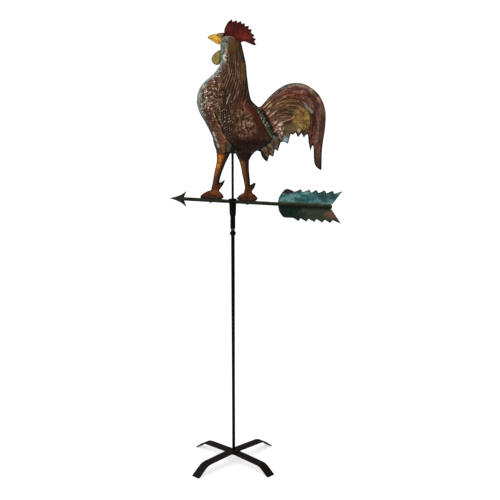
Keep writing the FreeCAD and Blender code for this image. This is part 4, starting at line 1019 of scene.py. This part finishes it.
def paint_tail(skin, outline):
    """The tail's sickle, ochre patch, pale rays at its root and dark tips."""
    depth = inside(skin.flat, outline)
    which = draw_feathers(skin, TAIL_FEATHERS, 0.9)
    x, z = skin.flat.T
    fine = rough_noise(skin.solid, 8, 12)
    soft = rough_noise(skin.solid, 22, 14)
    grit = rough_noise(skin.solid, 5, 16)
    sickle = (which == 0) * ramp(x, 290, 325)
    skin.paint((0.085, 0.042, 0.034), sickle * 0.55)
    skin.spot((0.17, 0.05, 0.03), (240, 1482), (42, 15), 0.6, ramp(fine, 0.4, 0.55) * 0.8)
    patch = skin.spot_mask((272, 1392), (34, 38), 0.22) * (which > 1) * (which < 5)
    skin.paint((0.17, 0.105, 0.028), patch * (0.55 + 0.45 * fine))
    skin.paint((0.28, 0.2, 0.06), patch * ramp(grit, 0.5, 0.62) * 0.7)
    skin.paint((0.09, 0.045, 0.02), patch * ramp(fine, 0.44, 0.34) * 0.8)
    skin.spot((0.12, 0.1, 0.05), (238, 1352), (34, 18), 0.5, 0.6)
    skin.spot((0.03, 0.017, 0.013), (205, 1410), (30, 14), 0.5, 0.6 * soft)
    skin.spot((0.03, 0.018, 0.014), (220, 1378), (14, 6), 0.6, 0.8)
    rays = noise(np.column_stack([(z - 0.95 * x) / 7, (x + 0.95 * z) / 38, 0 * x]), 1, 44)
    root = ramp(x + 0.4 * (z - 1400), 200, 160) * ramp(rays + 0.5 * (grit - 0.5), 0.55, 0.7)
    skin.paint((0.27, 0.155, 0.11), root * ramp(z, 1330, 1345) * 0.85)
    skin.paint((0.5, 0.37, 0.28), root * ramp(rays, 0.66, 0.8) * ramp(fine, 0.42, 0.55) * 0.8)
    skin.paint((0.1, 0.04, 0.026), ramp(x, 190, 150) * (1 - root) * 0.5)
    pale = (skin.spot_mask((190, 1352), (11, 24), 0.6)
            * ramp(fine + 0.4 * (grit - 0.5), 0.46, 0.56))
    skin.paint((0.68, 0.54, 0.44), pale * 0.9)
    tan_line, _ = skin.line_mask([(166, 1352), (196, 1376), (222, 1386), (244, 1396)], 3, 1.4)
    skin.paint((0.36, 0.27, 0.17), tan_line * ramp(grit, 0.42, 0.55) * 0.8)
    # painted reflection: a blue-grey glint across the upper feathers
    blue_glint, _ = skin.line_mask([(279, 1449), (293, 1434), (311, 1416)], 9, 4)
    skin.paint((0.2, 0.25, 0.24), blue_glint * ramp(fine, 0.36, 0.52) * 0.75)
    skin.spot((0.09, 0.2, 0.27), (215, 1309), (15, 15), 0.3, 0.75 + 0.25 * fine)
    skin.spot((0.34, 0.42, 0.42), (210, 1312), (10, 10), 0.5, ramp(grit, 0.5, 0.6) * 0.7)
    # painted highlight: a pink glint
    skin.spot((0.44, 0.28, 0.2), (262, 1348), (6, 7), 0.5, 0.8)
    skin.paint((0.11, 0.03, 0.02), (which == 1) * ramp(z, 1330, 1300) * 0.8)
    # painted highlight: a light glint on the sickle
    skin.spot((0.45, 0.27, 0.19), (351, 1252), (3.5, 13), 0.5, 0.75)
    skin.spot((0.15, 0.09, 0.03), (358, 1418), (5, 18), 0.5, 0.7)
    skin.spot((0.28, 0.16, 0.11), (334, 1462), (16, 8), 0.6, ramp(fine, 0.4, 0.6) * 0.6)
    edge_line = [(128, 1440), (157, 1471), (204, 1503), (250, 1513), (295, 1503), (318, 1487)]
    edge, share = skin.line_mask(edge_line, 5, 3)
    skin.paint((0.12, 0.15, 0.13), edge * ramp(share, 0, 0.3)
               * ramp(fine + 0.3 * (grit - 0.5), 0.35, 0.55))
    # painted highlight along the later part of the top edge
    skin.paint((0.26, 0.27, 0.23), edge * ramp(share, 0.5, 0.7) * ramp(grit, 0.54, 0.64) * 0.6)
    skin.paint(BLACK, ramp(depth, 3.4, 1.2))
    tips = ramp(z + 0.6 * (x - 300), 1340, 1318) * ramp(depth, 9, 3) * (z < 1345) * (x > 225)
    skin.paint((0.018, 0.012, 0.009), tips * 0.75)
    skin.paint((0.012, 0.008, 0.007), ramp(z - 1.6 * (x - 340), 1222, 1200) * 0.9)
    cuff_side, _ = from_line(skin.flat, smooth_line(CUFF, 30))
    skin.paint(BLACK, ramp(np.abs(cuff_side), 6, 2.5) * 0.8)
    skin.deepen(0.15)
    skin.tint *= (0.82, 0.75, 0.68)
    # worn places and painted glints go on the lightest places, mostly the painted highlights
    skin.wear_and_glint = 0.3 * ramp(skin.tint.mean(axis=1), 0.18, 0.35)
    skin.relief *= (np.abs(skin.co[:, 1]) > 0.1) * ramp(depth, 0, 4)
    skin.keep()


def build_tail(material):
    """The two pressed halves of the tail, the right one a mirror image."""
    def thickness(points, depth):
        return 0.9 + 5.6 * rounded(depth, 26) - 1.5 * ramp(points[:, 1], 1300, 1240)

    for hand in ("left", "right"):
        obj, outline = plate("rooster_tail_" + hand, TAIL_RUNS, thickness, step=1.9, half=True)
        skin = Skin(obj.data, BROWN, slanted=False)
        skin.flat[:, 0] -= SLANT * np.abs(skin.co[:, 1])
        paint_tail(skin, outline)
        if hand == "right":
            obj.data.transform(Matrix.Scale(-1, 4, (0, 1, 0)))
            obj.data.flip_normals()
        place(obj, material, "tail_copper", "tail_shell_" + hand)


def build_under_tail(material):
    obj, outline = plate("rooster_under_tail", UNDER_RUNS, swollen(0.6, 2.2, reach=8), step=1.4)
    skin = Skin(obj.data, BROWN)
    depth = inside(skin.flat, outline)
    draw_feathers(skin, UNDER_FEATHERS, 0.3)
    skin.relief *= 0.5 * ramp(depth, 0, 4)
    x, z = skin.flat.T
    tip = ramp(depth, 7, 3) * ramp(z - 1.45 * (x - 140), 1262, 1245)
    skin.paint((0.01, 0.008, 0.006), tip * 0.95)
    shadow, _ = skin.line_mask([(108, 1276), (120, 1256), (141, 1232)], 13, 4)
    skin.paint(BLACK, shadow * 0.93)
    skin.paint((0.006, 0.006, 0.005), ramp(depth, 2.4, 0.8))
    skin.paint((0.025, 0.028, 0.022), ramp(z - 0.55 * (x - 120), 1294, 1304) * 0.8)
    skin.spot((0.09, 0.15, 0.17), (160, 1322), (8, 8), 0.6, 0.6)
    skin.keep()
    place(obj, material, "under_tail_bronze", "under_tail_feathers")


# ---- rooster: legs ----

# "top" is the height where the thigh's feathers end. The shank is cut level: height, front, back,
# half width, centre y. The limbs give x, y, z, radius in the side view and radius across.
FRONT_LEG = {
    "top": 1256,
    "shank": [(1270, -60, -2, 18, -13), (1255, -60, -5, 16, -12.5), (1236, -60, -14.5, 14, -11),
              (1218, -62, -25, 12.5, -9), (1199, -67, -33.6, 11.5, -7.3),
              (1181, -72.4, -41.4, 10.5, -6), (1162, -76.4, -48.5, 10, -4.6),
              (1143, -81, -53.5, 10, -2.8), (1125, -85.5, -56, 10, -1), (1108, -91, -56, 10.5, 0),
              (1092, -98, -53, 11, 0)],
    "toes": [[(-74, 0, 1098, 14, 11), (-96, 0, 1093, 14, 10.5), (-114, 0, 1087.5, 11, 8.5),
              (-126, 0, 1082.5, 8, 6.5), (-134, 0, 1078.5, 4, 4)],
             [(-66, 0, 1097, 13, 11), (-54, 0, 1091, 11, 9.5), (-45, 0, 1085, 8, 7.5),
              (-40.5, 0, 1080.5, 4.5, 5)]],
    "spur": [(-68, 0, 1117, 15, 6), (-56, 0, 1126, 11, 5), (-46, 0, 1135, 8, 4),
             (-38, 0, 1144, 4.5, 3), (-32.5, 0, 1151, 1.6, 1.8)],
    "sole": [(-126, 0, 1078, 4, 8), (-90, 0, 1079, 6, 11), (-46, 0, 1079, 4.5, 8)],
}
REAR_LEG = {
    "top": 1233,
    "shank": [(1270, 2, 92, 18, 13), (1255, 7.6, 79, 16, 12.5), (1236, 18, 65, 14, 11),
              (1218, 26.5, 63, 12.5, 9), (1199, 32.3, 63.6, 11, 7.3), (1181, 36, 65.3, 10.5, 6),
              (1162, 41, 67.8, 10, 4.6), (1143, 46, 70, 10, 2.8), (1125, 49.4, 73, 10, 1),
              (1108, 46, 80, 10.5, 0), (1092, 40, 86, 11, 0)],
    "toes": [[(62, 0, 1097, 13, 11), (45, 0, 1092, 12, 10), (32, 0, 1087, 9.5, 8),
              (23, 0, 1082.5, 6.5, 6), (18.5, 0, 1080, 3.5, 4)],
             [(70, 0, 1096, 12, 11), (84, 0, 1091, 10.5, 9.5), (93, 0, 1085.5, 8, 7),
              (98.5, 0, 1081, 5, 5)]],
    "spur": [(60, 0, 1110, 14, 6), (72, 0, 1122, 11.5, 5), (82, 0, 1133, 9, 4),
             (88.5, 0, 1141, 6, 3), (91.5, 0, 1146, 3, 2)],
    "sole": [(26, 0, 1078, 4, 8), (60, 0, 1079, 6, 11), (92, 0, 1079, 4.5, 8)],
}


def build_leg(name, shape, orange, material, node_name):
    """A leg with toes gripping the bar, a spur and plated skin; orange gives its tint's heights."""
    limbs = [shape["spur"], shape["sole"]] + shape["toes"]
    lumps = [level_rings(shape["shank"], step=3, count=32)] + [limb_rings(limb) for limb in limbs]
    obj = grown(name, lumps, voxel=1.6, smooth=3)
    skin = Skin(obj.data, (0.052, 0.014, 0.004), slanted=False)
    x, y, z = skin.co.T
    soft = rough_noise(skin.solid, 14, 2)
    fine = rough_noise(skin.solid, 6, 9)
    facing = np.abs(skin.normals[:, 1])
    shank = np.array(shape["shank"])[::-1]
    top = shape["top"]
    back = np.interp(z, shank[:, 0], shank[:, 2])
    front = np.interp(z, shank[:, 0], shank[:, 1])
    on_shank = ramp(x, back + 3, back - 2) * ramp(x, front - 4, front)
    bands = ramp(z, 1112, 1122) * ramp(z, 1222, 1205) * on_shank
    depth, _, _ = laps(x / 9 + y / 14, -z / 6.5, 0.35)
    skin.relief += bands * (0.5 * depth ** 2 - 0.2)
    grooves = (ramp(z, 1108, 1096) * ramp(np.abs(np.abs(y) - 3.6), 1.6, 0.4)
               * ramp(front - x, -14, -2))
    skin.relief -= 0.9 * grooves
    skin.paint((0.074, 0.022, 0.005), ramp(z, 1110, 1180) * 0.8)
    skin.paint(orange, ramp(z, 1150, 1232) * (0.6 + 0.4 * soft))
    middle = (x - front) / (back - front)
    # painted highlight down the middle of the shank
    shank_highlight = ramp(np.abs(middle - 0.4), 0.24, 0.06) * ramp(z, 1160, 1225) * ramp(facing, 0.6, 0.85)
    skin.paint(np.array(orange) * (2.0, 2.2, 1.6), shank_highlight * ramp(fine, 0.3, 0.55) * 0.85)
    skin.spot((0.18, 0.055, 0.016), (float(front.min()) + 30, 1104), (18, 9), 0.7, 0.6)
    # painted shade where the leg turns away from the side
    skin.paint((0.01, 0.005, 0.003), ramp(facing, 0.8, 0.45) * 0.93 * ramp(z, 1084, 1092))
    # painted shade on the back of the shank
    skin.paint((0.014, 0.006, 0.003), ramp(middle, 0.58, 0.8) * on_shank * ramp(z, 1115, 1140)
               * 0.95)
    # painted shade on the front edge of the shank
    skin.paint((0.02, 0.007, 0.003), ramp(middle, 0.24, 0.1) * on_shank * ramp(z, 1120, 1150)
               * 0.85)
    # painted shade on the top of the leg, under the feathers of the thigh
    skin.paint((0.02, 0.008, 0.003), ramp(z + 5 * (fine - 0.5), top - 9, top - 3) * 0.8)
    # painted highlight on the foot, where the shank meets the toes
    instep_highlight = (ramp(np.abs(x - float(back[z < 1094].mean())), 22, 8) * ramp(z, 1082, 1090)
              * ramp(z, 1112, 1100))
    skin.paint((0.12, 0.04, 0.014), instep_highlight * ramp(facing, 0.6, 0.85) * ramp(fine, 0.36, 0.56) * 0.8)
    # painted shade along the bottom of the toes, where they grip the bar
    skin.paint((0.008, 0.005, 0.004), ramp(z + 4 * (fine - 0.5), 1086, 1081) * 0.85)
    spur_tip = np.array(shape["spur"][-1][:3])
    near_tip = np.linalg.norm(skin.co - spur_tip, axis=1)
    skin.paint((0.008, 0.007, 0.005), ramp(near_tip + 8 * (fine - 0.5), 34, 18) * 0.92)
    for toe in shape["toes"]:
        claw = np.linalg.norm(skin.co - np.array(toe[-1][:3]), axis=1)
        skin.paint((0.008, 0.006, 0.005), ramp(claw, 13, 6) * 0.9)
    skin.shade(0.75 + 0.5 * fine)
    # painted glints on the tips of the scales that face the side
    skin.wear_and_glint = 0.2 * bands * ramp(depth, 0.75, 0.95) * ramp(facing, 0.6, 0.9)
    skin.keep()
    place(obj, material, "leg_bronze", node_name)


# ---- arrow ----

BAR_HEIGHT = 1069
HEAD_RUNS = [
    ("curve", [(-271, 1069), (-245, 1075), (-216, 1086), (-193, 1102)]),
    ("curve", [(-193, 1102), (-199, 1089), (-204, 1077)]),
    ("line", [(-204, 1077), (-204, 1061)]),
    ("curve", [(-204, 1061), (-199, 1049), (-195, 1036)]),
    ("curve", [(-195, 1036), (-216, 1052), (-245, 1063), (-271, 1069)]),
]
UPPER_HUMP = [(183, 0), (186, 22), (199, 45), (215, 59), (232, 57), (248, 50)]
UPPER_TEETH = [(273, 61), (280, 50), (306, 61), (313, 50), (333, 61), (341, 50), (365, 61),
               (372, 50), (395, 61), (402, 50), (433, 61), (398, 14), (390, 8), (390, 0)]
LOWER_HUMP = [(183, 0), (187, 24), (196, 40), (209, 50), (244, 50)]
LOWER_TEETH = [(265, 61), (273, 50), (296, 61), (304, 50), (327, 61), (335, 50), (358, 61),
               (367, 50), (388, 61), (397, 50), (429, 61), (396, 14), (390, 8), (390, 0)]


def build_arrowhead(material):
    def thickness(points, depth):
        radius = np.interp(points[:, 0], [-271, -245, -205], [0.8, 4.2, 7.4])
        core = np.sqrt(np.maximum(radius ** 2 - (points[:, 1] - BAR_HEIGHT) ** 2, 0))
        return np.maximum(core, 0.5 + 2.4 * np.clip(depth / 5, 0, 1))

    obj, outline = plate("arrow_point", HEAD_RUNS, thickness, step=0.9)
    skin = Skin(obj.data, (0.009, 0.01, 0.006))
    fine = rough_noise(skin.solid, 5, 3)
    skin.paint((0.03, 0.03, 0.015), ramp(fine, 0.5, 0.64) * 0.7)
    skin.paint(BLACK, ramp(inside(skin.flat, outline), 2.2, 0.8) * 0.8)
    skin.wear_and_glint = 0.15 * ramp(fine, 0.55, 0.7)
    skin.keep()
    place(obj, material, "arrow_brass", "arrowhead")


def build_fletching(material):
    def edge(side, hump, teeth):
        return [("curve", [(x, BAR_HEIGHT + side * rise) for x, rise in hump]),
                ("line", [(x, BAR_HEIGHT + side * rise) for x, rise in [hump[-1]] + teeth])]

    lower = [(kind, points[::-1]) for kind, points in reversed(edge(-1, LOWER_HUMP, LOWER_TEETH))]
    obj, outline = plate("arrow_fletching", edge(1, UPPER_HUMP, UPPER_TEETH) + lower,
                         swollen(0.5, 0.5, reach=3), step=1.6)
    skin = Skin(obj.data, (0.04, 0.115, 0.115))
    depth = inside(skin.flat, outline)
    x, z = skin.flat.T
    rise = np.abs(z - BAR_HEIGHT)
    up = z > BAR_HEIGHT
    soft = rough_noise(skin.solid, 24, 5)
    grit = rough_noise(skin.solid, 4.5, 7)
    barb = 0.5 + 0.5 * np.cos(2 * math.pi * (x - rise * 0.75 + 9 * soft) / 11)
    patches = rough_noise(skin.solid, (26, 5, 13), 15)
    skin.relief += 0.45 * barb * ramp(depth, 1, 5) * ramp(rise, 7, 12)
    skin.paint((0.085, 0.2, 0.2), up * ramp(patches, 0.5, 0.62) * 0.85)
    skin.paint((0.17, 0.3, 0.29), up * ramp(patches, 0.54, 0.66) * ramp(grit, 0.5, 0.64) * 0.6)
    skin.paint((0.012, 0.045, 0.052), up * ramp(patches, 0.46, 0.36) * 0.8)
    skin.paint((0.012, 0.06, 0.078), up * skin.spot_mask((328, 1098), (26, 9), 0.6) * 0.7)
    # painted shade: the whole lower vane is painted near black
    skin.paint((0.003, 0.009, 0.005), ~up * 0.97)
    skin.paint((0.042, 0.048, 0.03), ~up * ramp(x + 60 * (patches - 0.5), 240, 320)
               * (0.35 + 0.65 * grit))
    skin.paint((0.016, 0.026, 0.018), ~up * ramp(grit, 0.56, 0.66) * 0.6)
    skin.paint((0.105, 0.052, 0.03), ~up * skin.spot_mask((393, 1040), (26, 15), 0.4)
               * (0.6 + 0.4 * grit))
    skin.paint((0.022, 0.009, 0.008), up * skin.spot_mask((218, 1121), (30, 13), 0.35) * 0.95)
    skin.paint((0.022, 0.036, 0.036), up * skin.spot_mask((357, 1106), (17, 15), 0.5) * 0.75)
    skin.paint((0.014, 0.04, 0.038), up * skin.spot_mask((402, 1106), (24, 13), 0.5) * 0.7)
    # painted highlight just above the bar, as on the lit top of the round bar
    skin.paint((0.05, 0.07, 0.03), ramp(rise, 14, 8) * up * 0.8)
    # painted shade just below the bar, as on the shaded underside of the round bar
    skin.paint(BLACK, ramp(rise, 18, 8) * ~up * 0.7)
    skin.shade(0.88 + 0.2 * barb)
    edge_tint = (0.006, 0.01, 0.01)
    skin.paint(edge_tint, ramp(depth, 3.2, 1.0))
    skin.paint(edge_tint, ramp(rise, 50, 57) * ramp(x, 245, 262) * 0.85)
    skin.wear_and_glint = 0.25 * ramp(grit, 0.6, 0.7) * up
    skin.keep()
    place(obj, material, "verdigris_sheet", "fletching")


def soften_edges(item, width):
    """Small rounded edges on a CAD piece."""
    join = item.modifiers.new("join", "WELD")
    join.merge_threshold = 0.01 * MM
    edge = item.modifiers.new("edge", "BEVEL")
    edge.width = width * MM
    edge.segments = 3
    edge.limit_method = "ANGLE"
    edge.angle_limit = math.radians(38)
    edge.harden_normals = True


# ---- build ----

PLUMAGE = finish("copper_plumage", None, (0.38, 0.62), gloss=0.05, grain=45, bump=0.35,
                 spread=0.25, wear_and_glint=(0.6, 0.46, 0.36))
BLACK_IRON = finish("black_iron", (0.002, 0.002, 0.0018), (0.5, 0.75), gloss=0.03, grain=80,
                    bump=0.2)
BASE_IRON = finish("base_iron", (0.006, 0.004, 0.0035), (0.5, 0.75), gloss=0.06, grain=50, bump=0.3)
DARK_STEEL = finish("dark_steel", (0.02, 0.02, 0.02), (0.3, 0.5), metal=0.5, grain=120, bump=0.2)
BEARING_STEEL = finish("bearing_steel", (0.45, 0.45, 0.46), (0.15, 0.3), metal=1.0, grain=200,
                       bump=0.05)
BRONZE = finish("bearing_bronze", (0.45, 0.3, 0.13), (0.25, 0.4), metal=1.0, grain=150, bump=0.1)
# The arrow bar is dark patina, with a painted highlight on the faces that look up.
ARROW = finish("arrow_patina_top_lit", (0.007, 0.007, 0.004), (0.4, 0.65), gloss=0.05, grain=60, bump=0.3,
               spread=0.5, above=(0.018, 0.02, 0.008))
# CAD pieces shown as they are. The others, the bushes and the parts inside the body, are bronze.
PLAIN = {
    BASE_IRON: "base_strap_lower base_strap_upper",
    DARK_STEEL: "base_bolt base_washer base_lock_washer coupling_set_screw hub_set_screw "
                "foot_screws",
    BLACK_IRON: "pole pole_coupling bearing_sleeve hub hub_cap support_rod",
    BEARING_STEEL: "spindle thrust_ball",
    ARROW: "arrow_bar bar_end_plug fletching_rivets",
}
for item in NODES.values():
    dress(item, BRONZE)
for material, names in PLAIN.items():
    for name in names.split():
        dress(NODES[name], material)

# How wide the rounded edge of each piece is.
EDGES = {"base_strap_lower": 0.9, "base_strap_upper": 0.9, "base_bolt": 0.5, "base_washer": 0.25,
         "base_lock_washer": 0.25, "pole_coupling": 0.3, "bearing_sleeve": 0.3, "hub": 0.6,
         "hub_cap": 0.6, "arrow_bar": 0.3, "bar_end_plug": 0.4}
for name, width in EDGES.items():
    soften_edges(NODES[name], width)

build_body(PLUMAGE)
build_comb(finish("comb_red", None, (0.45, 0.7), gloss=0.04, grain=60, bump=0.3, spread=0.2,
                  wear_and_glint=(0.2, 0.05, 0.035)))
build_wattle(finish("wattle_ochre", None, (0.35, 0.6), gloss=0.08, grain=70, bump=0.3, spread=0.2,
                    wear_and_glint=(0.45, 0.38, 0.14)))
build_beak(finish("beak_yellow", None, (0.35, 0.55), gloss=0.12, grain=70, bump=0.25, spread=0.15,
                  wear_and_glint=(0.85, 0.62, 0.2)))
build_tail(PLUMAGE)
build_under_tail(PLUMAGE)
LEG = finish("leg_bronze", None, (0.38, 0.6), gloss=0.06, grain=60, bump=0.35, spread=0.25,
             wear_and_glint=(0.5, 0.25, 0.1))
build_leg("rooster_front_leg", FRONT_LEG, (0.235, 0.07, 0.01), LEG, "front_leg")
build_leg("rooster_rear_leg", REAR_LEG, (0.09, 0.032, 0.006), LEG, "rear_leg")
build_arrowhead(finish("point_patina", None, (0.4, 0.65), gloss=0.05, grain=80, bump=0.3,
                       spread=0.3, wear_and_glint=(0.20, 0.18, 0.11)))
build_fletching(finish("verdigris", None, (0.45, 0.7), gloss=0.03, grain=50, bump=0.4, spread=0.25,
                       wear_and_glint=(0.26, 0.38, 0.36)))


# ---- floor, light and camera ----

FLOOR_SIZE = 60
FLOOR_DROP = 0.0005
AMBIENT = 0.4
BACKDROP = 1.02
SUN_FROM = (-0.55, -0.75, 1.35)
# A broad key light with soft shadows, and a fill that casts none: strength, angle, shadows.
SUNS = {"key": (0.8, 60, True), "fill": (2.5, 14, False)}
CAMERA_PLACE = (1.2299, -3.2041, 1.589)
CAMERA_TILT, CAMERA_TURN = 78.3, 19.89
SENSOR, FOCAL_LENGTH = 36, 64.8


def build_floor():
    bm = bmesh.new()
    bmesh.ops.create_grid(bm, x_segments=8, y_segments=8, size=FLOOR_SIZE)
    mesh = bpy.data.meshes.new("floor")
    bm.to_mesh(mesh)
    bm.free()
    floor = new_object("floor", mesh)
    floor.location.z = -FLOOR_DROP
    material = finish("pale_floor", (0.93, 0.93, 0.93), (0.9, 1.0), gloss=0.0, grain=3, bump=0.02,
                      spread=0.01)
    dress(floor, material)


def build_light():
    world = bpy.data.worlds.new("studio")
    world.use_nodes = True
    bpy.context.scene.world = world
    tree = world.node_tree
    ambient = tree.nodes["Background"]
    ambient.inputs["Color"].default_value = (1, 1, 1, 1)
    ambient.inputs["Strength"].default_value = AMBIENT
    seen = node(tree, "Background", {"Color": (1, 1, 1, 1), "Strength": BACKDROP})
    path = node(tree, "LightPath")
    either = node(tree, "MixShader")
    tree.links.new(path.outputs["Is Camera Ray"], either.inputs["Fac"])
    tree.links.new(ambient.outputs["Background"], either.inputs[1])
    tree.links.new(seen.outputs["Background"], either.inputs[2])
    tree.links.new(either.outputs["Shader"], tree.nodes["World Output"].inputs["Surface"])

    for name, (energy, angle, shadows) in SUNS.items():
        sun = bpy.data.lights.new(name, "SUN")
        sun.energy = energy
        sun.angle = math.radians(angle)
        sun.use_shadow = shadows
        lamp = bpy.data.objects.new(name, sun)
        lamp.rotation_euler = Vector(SUN_FROM).to_track_quat("Z", "Y").to_euler()
        bpy.context.scene.collection.objects.link(lamp)


def build_camera():
    lens = bpy.data.cameras.new("camera")
    lens.sensor_width = SENSOR
    lens.lens = FOCAL_LENGTH
    lens.clip_end = 200
    camera = bpy.data.objects.new("camera", lens)
    camera.location = CAMERA_PLACE
    camera.rotation_euler = (math.radians(CAMERA_TILT), 0, math.radians(CAMERA_TURN))
    bpy.context.scene.collection.objects.link(camera)
    bpy.context.scene.camera = camera
    bpy.context.scene.view_settings.view_transform = "Standard"


build_floor()
build_light()
build_camera()
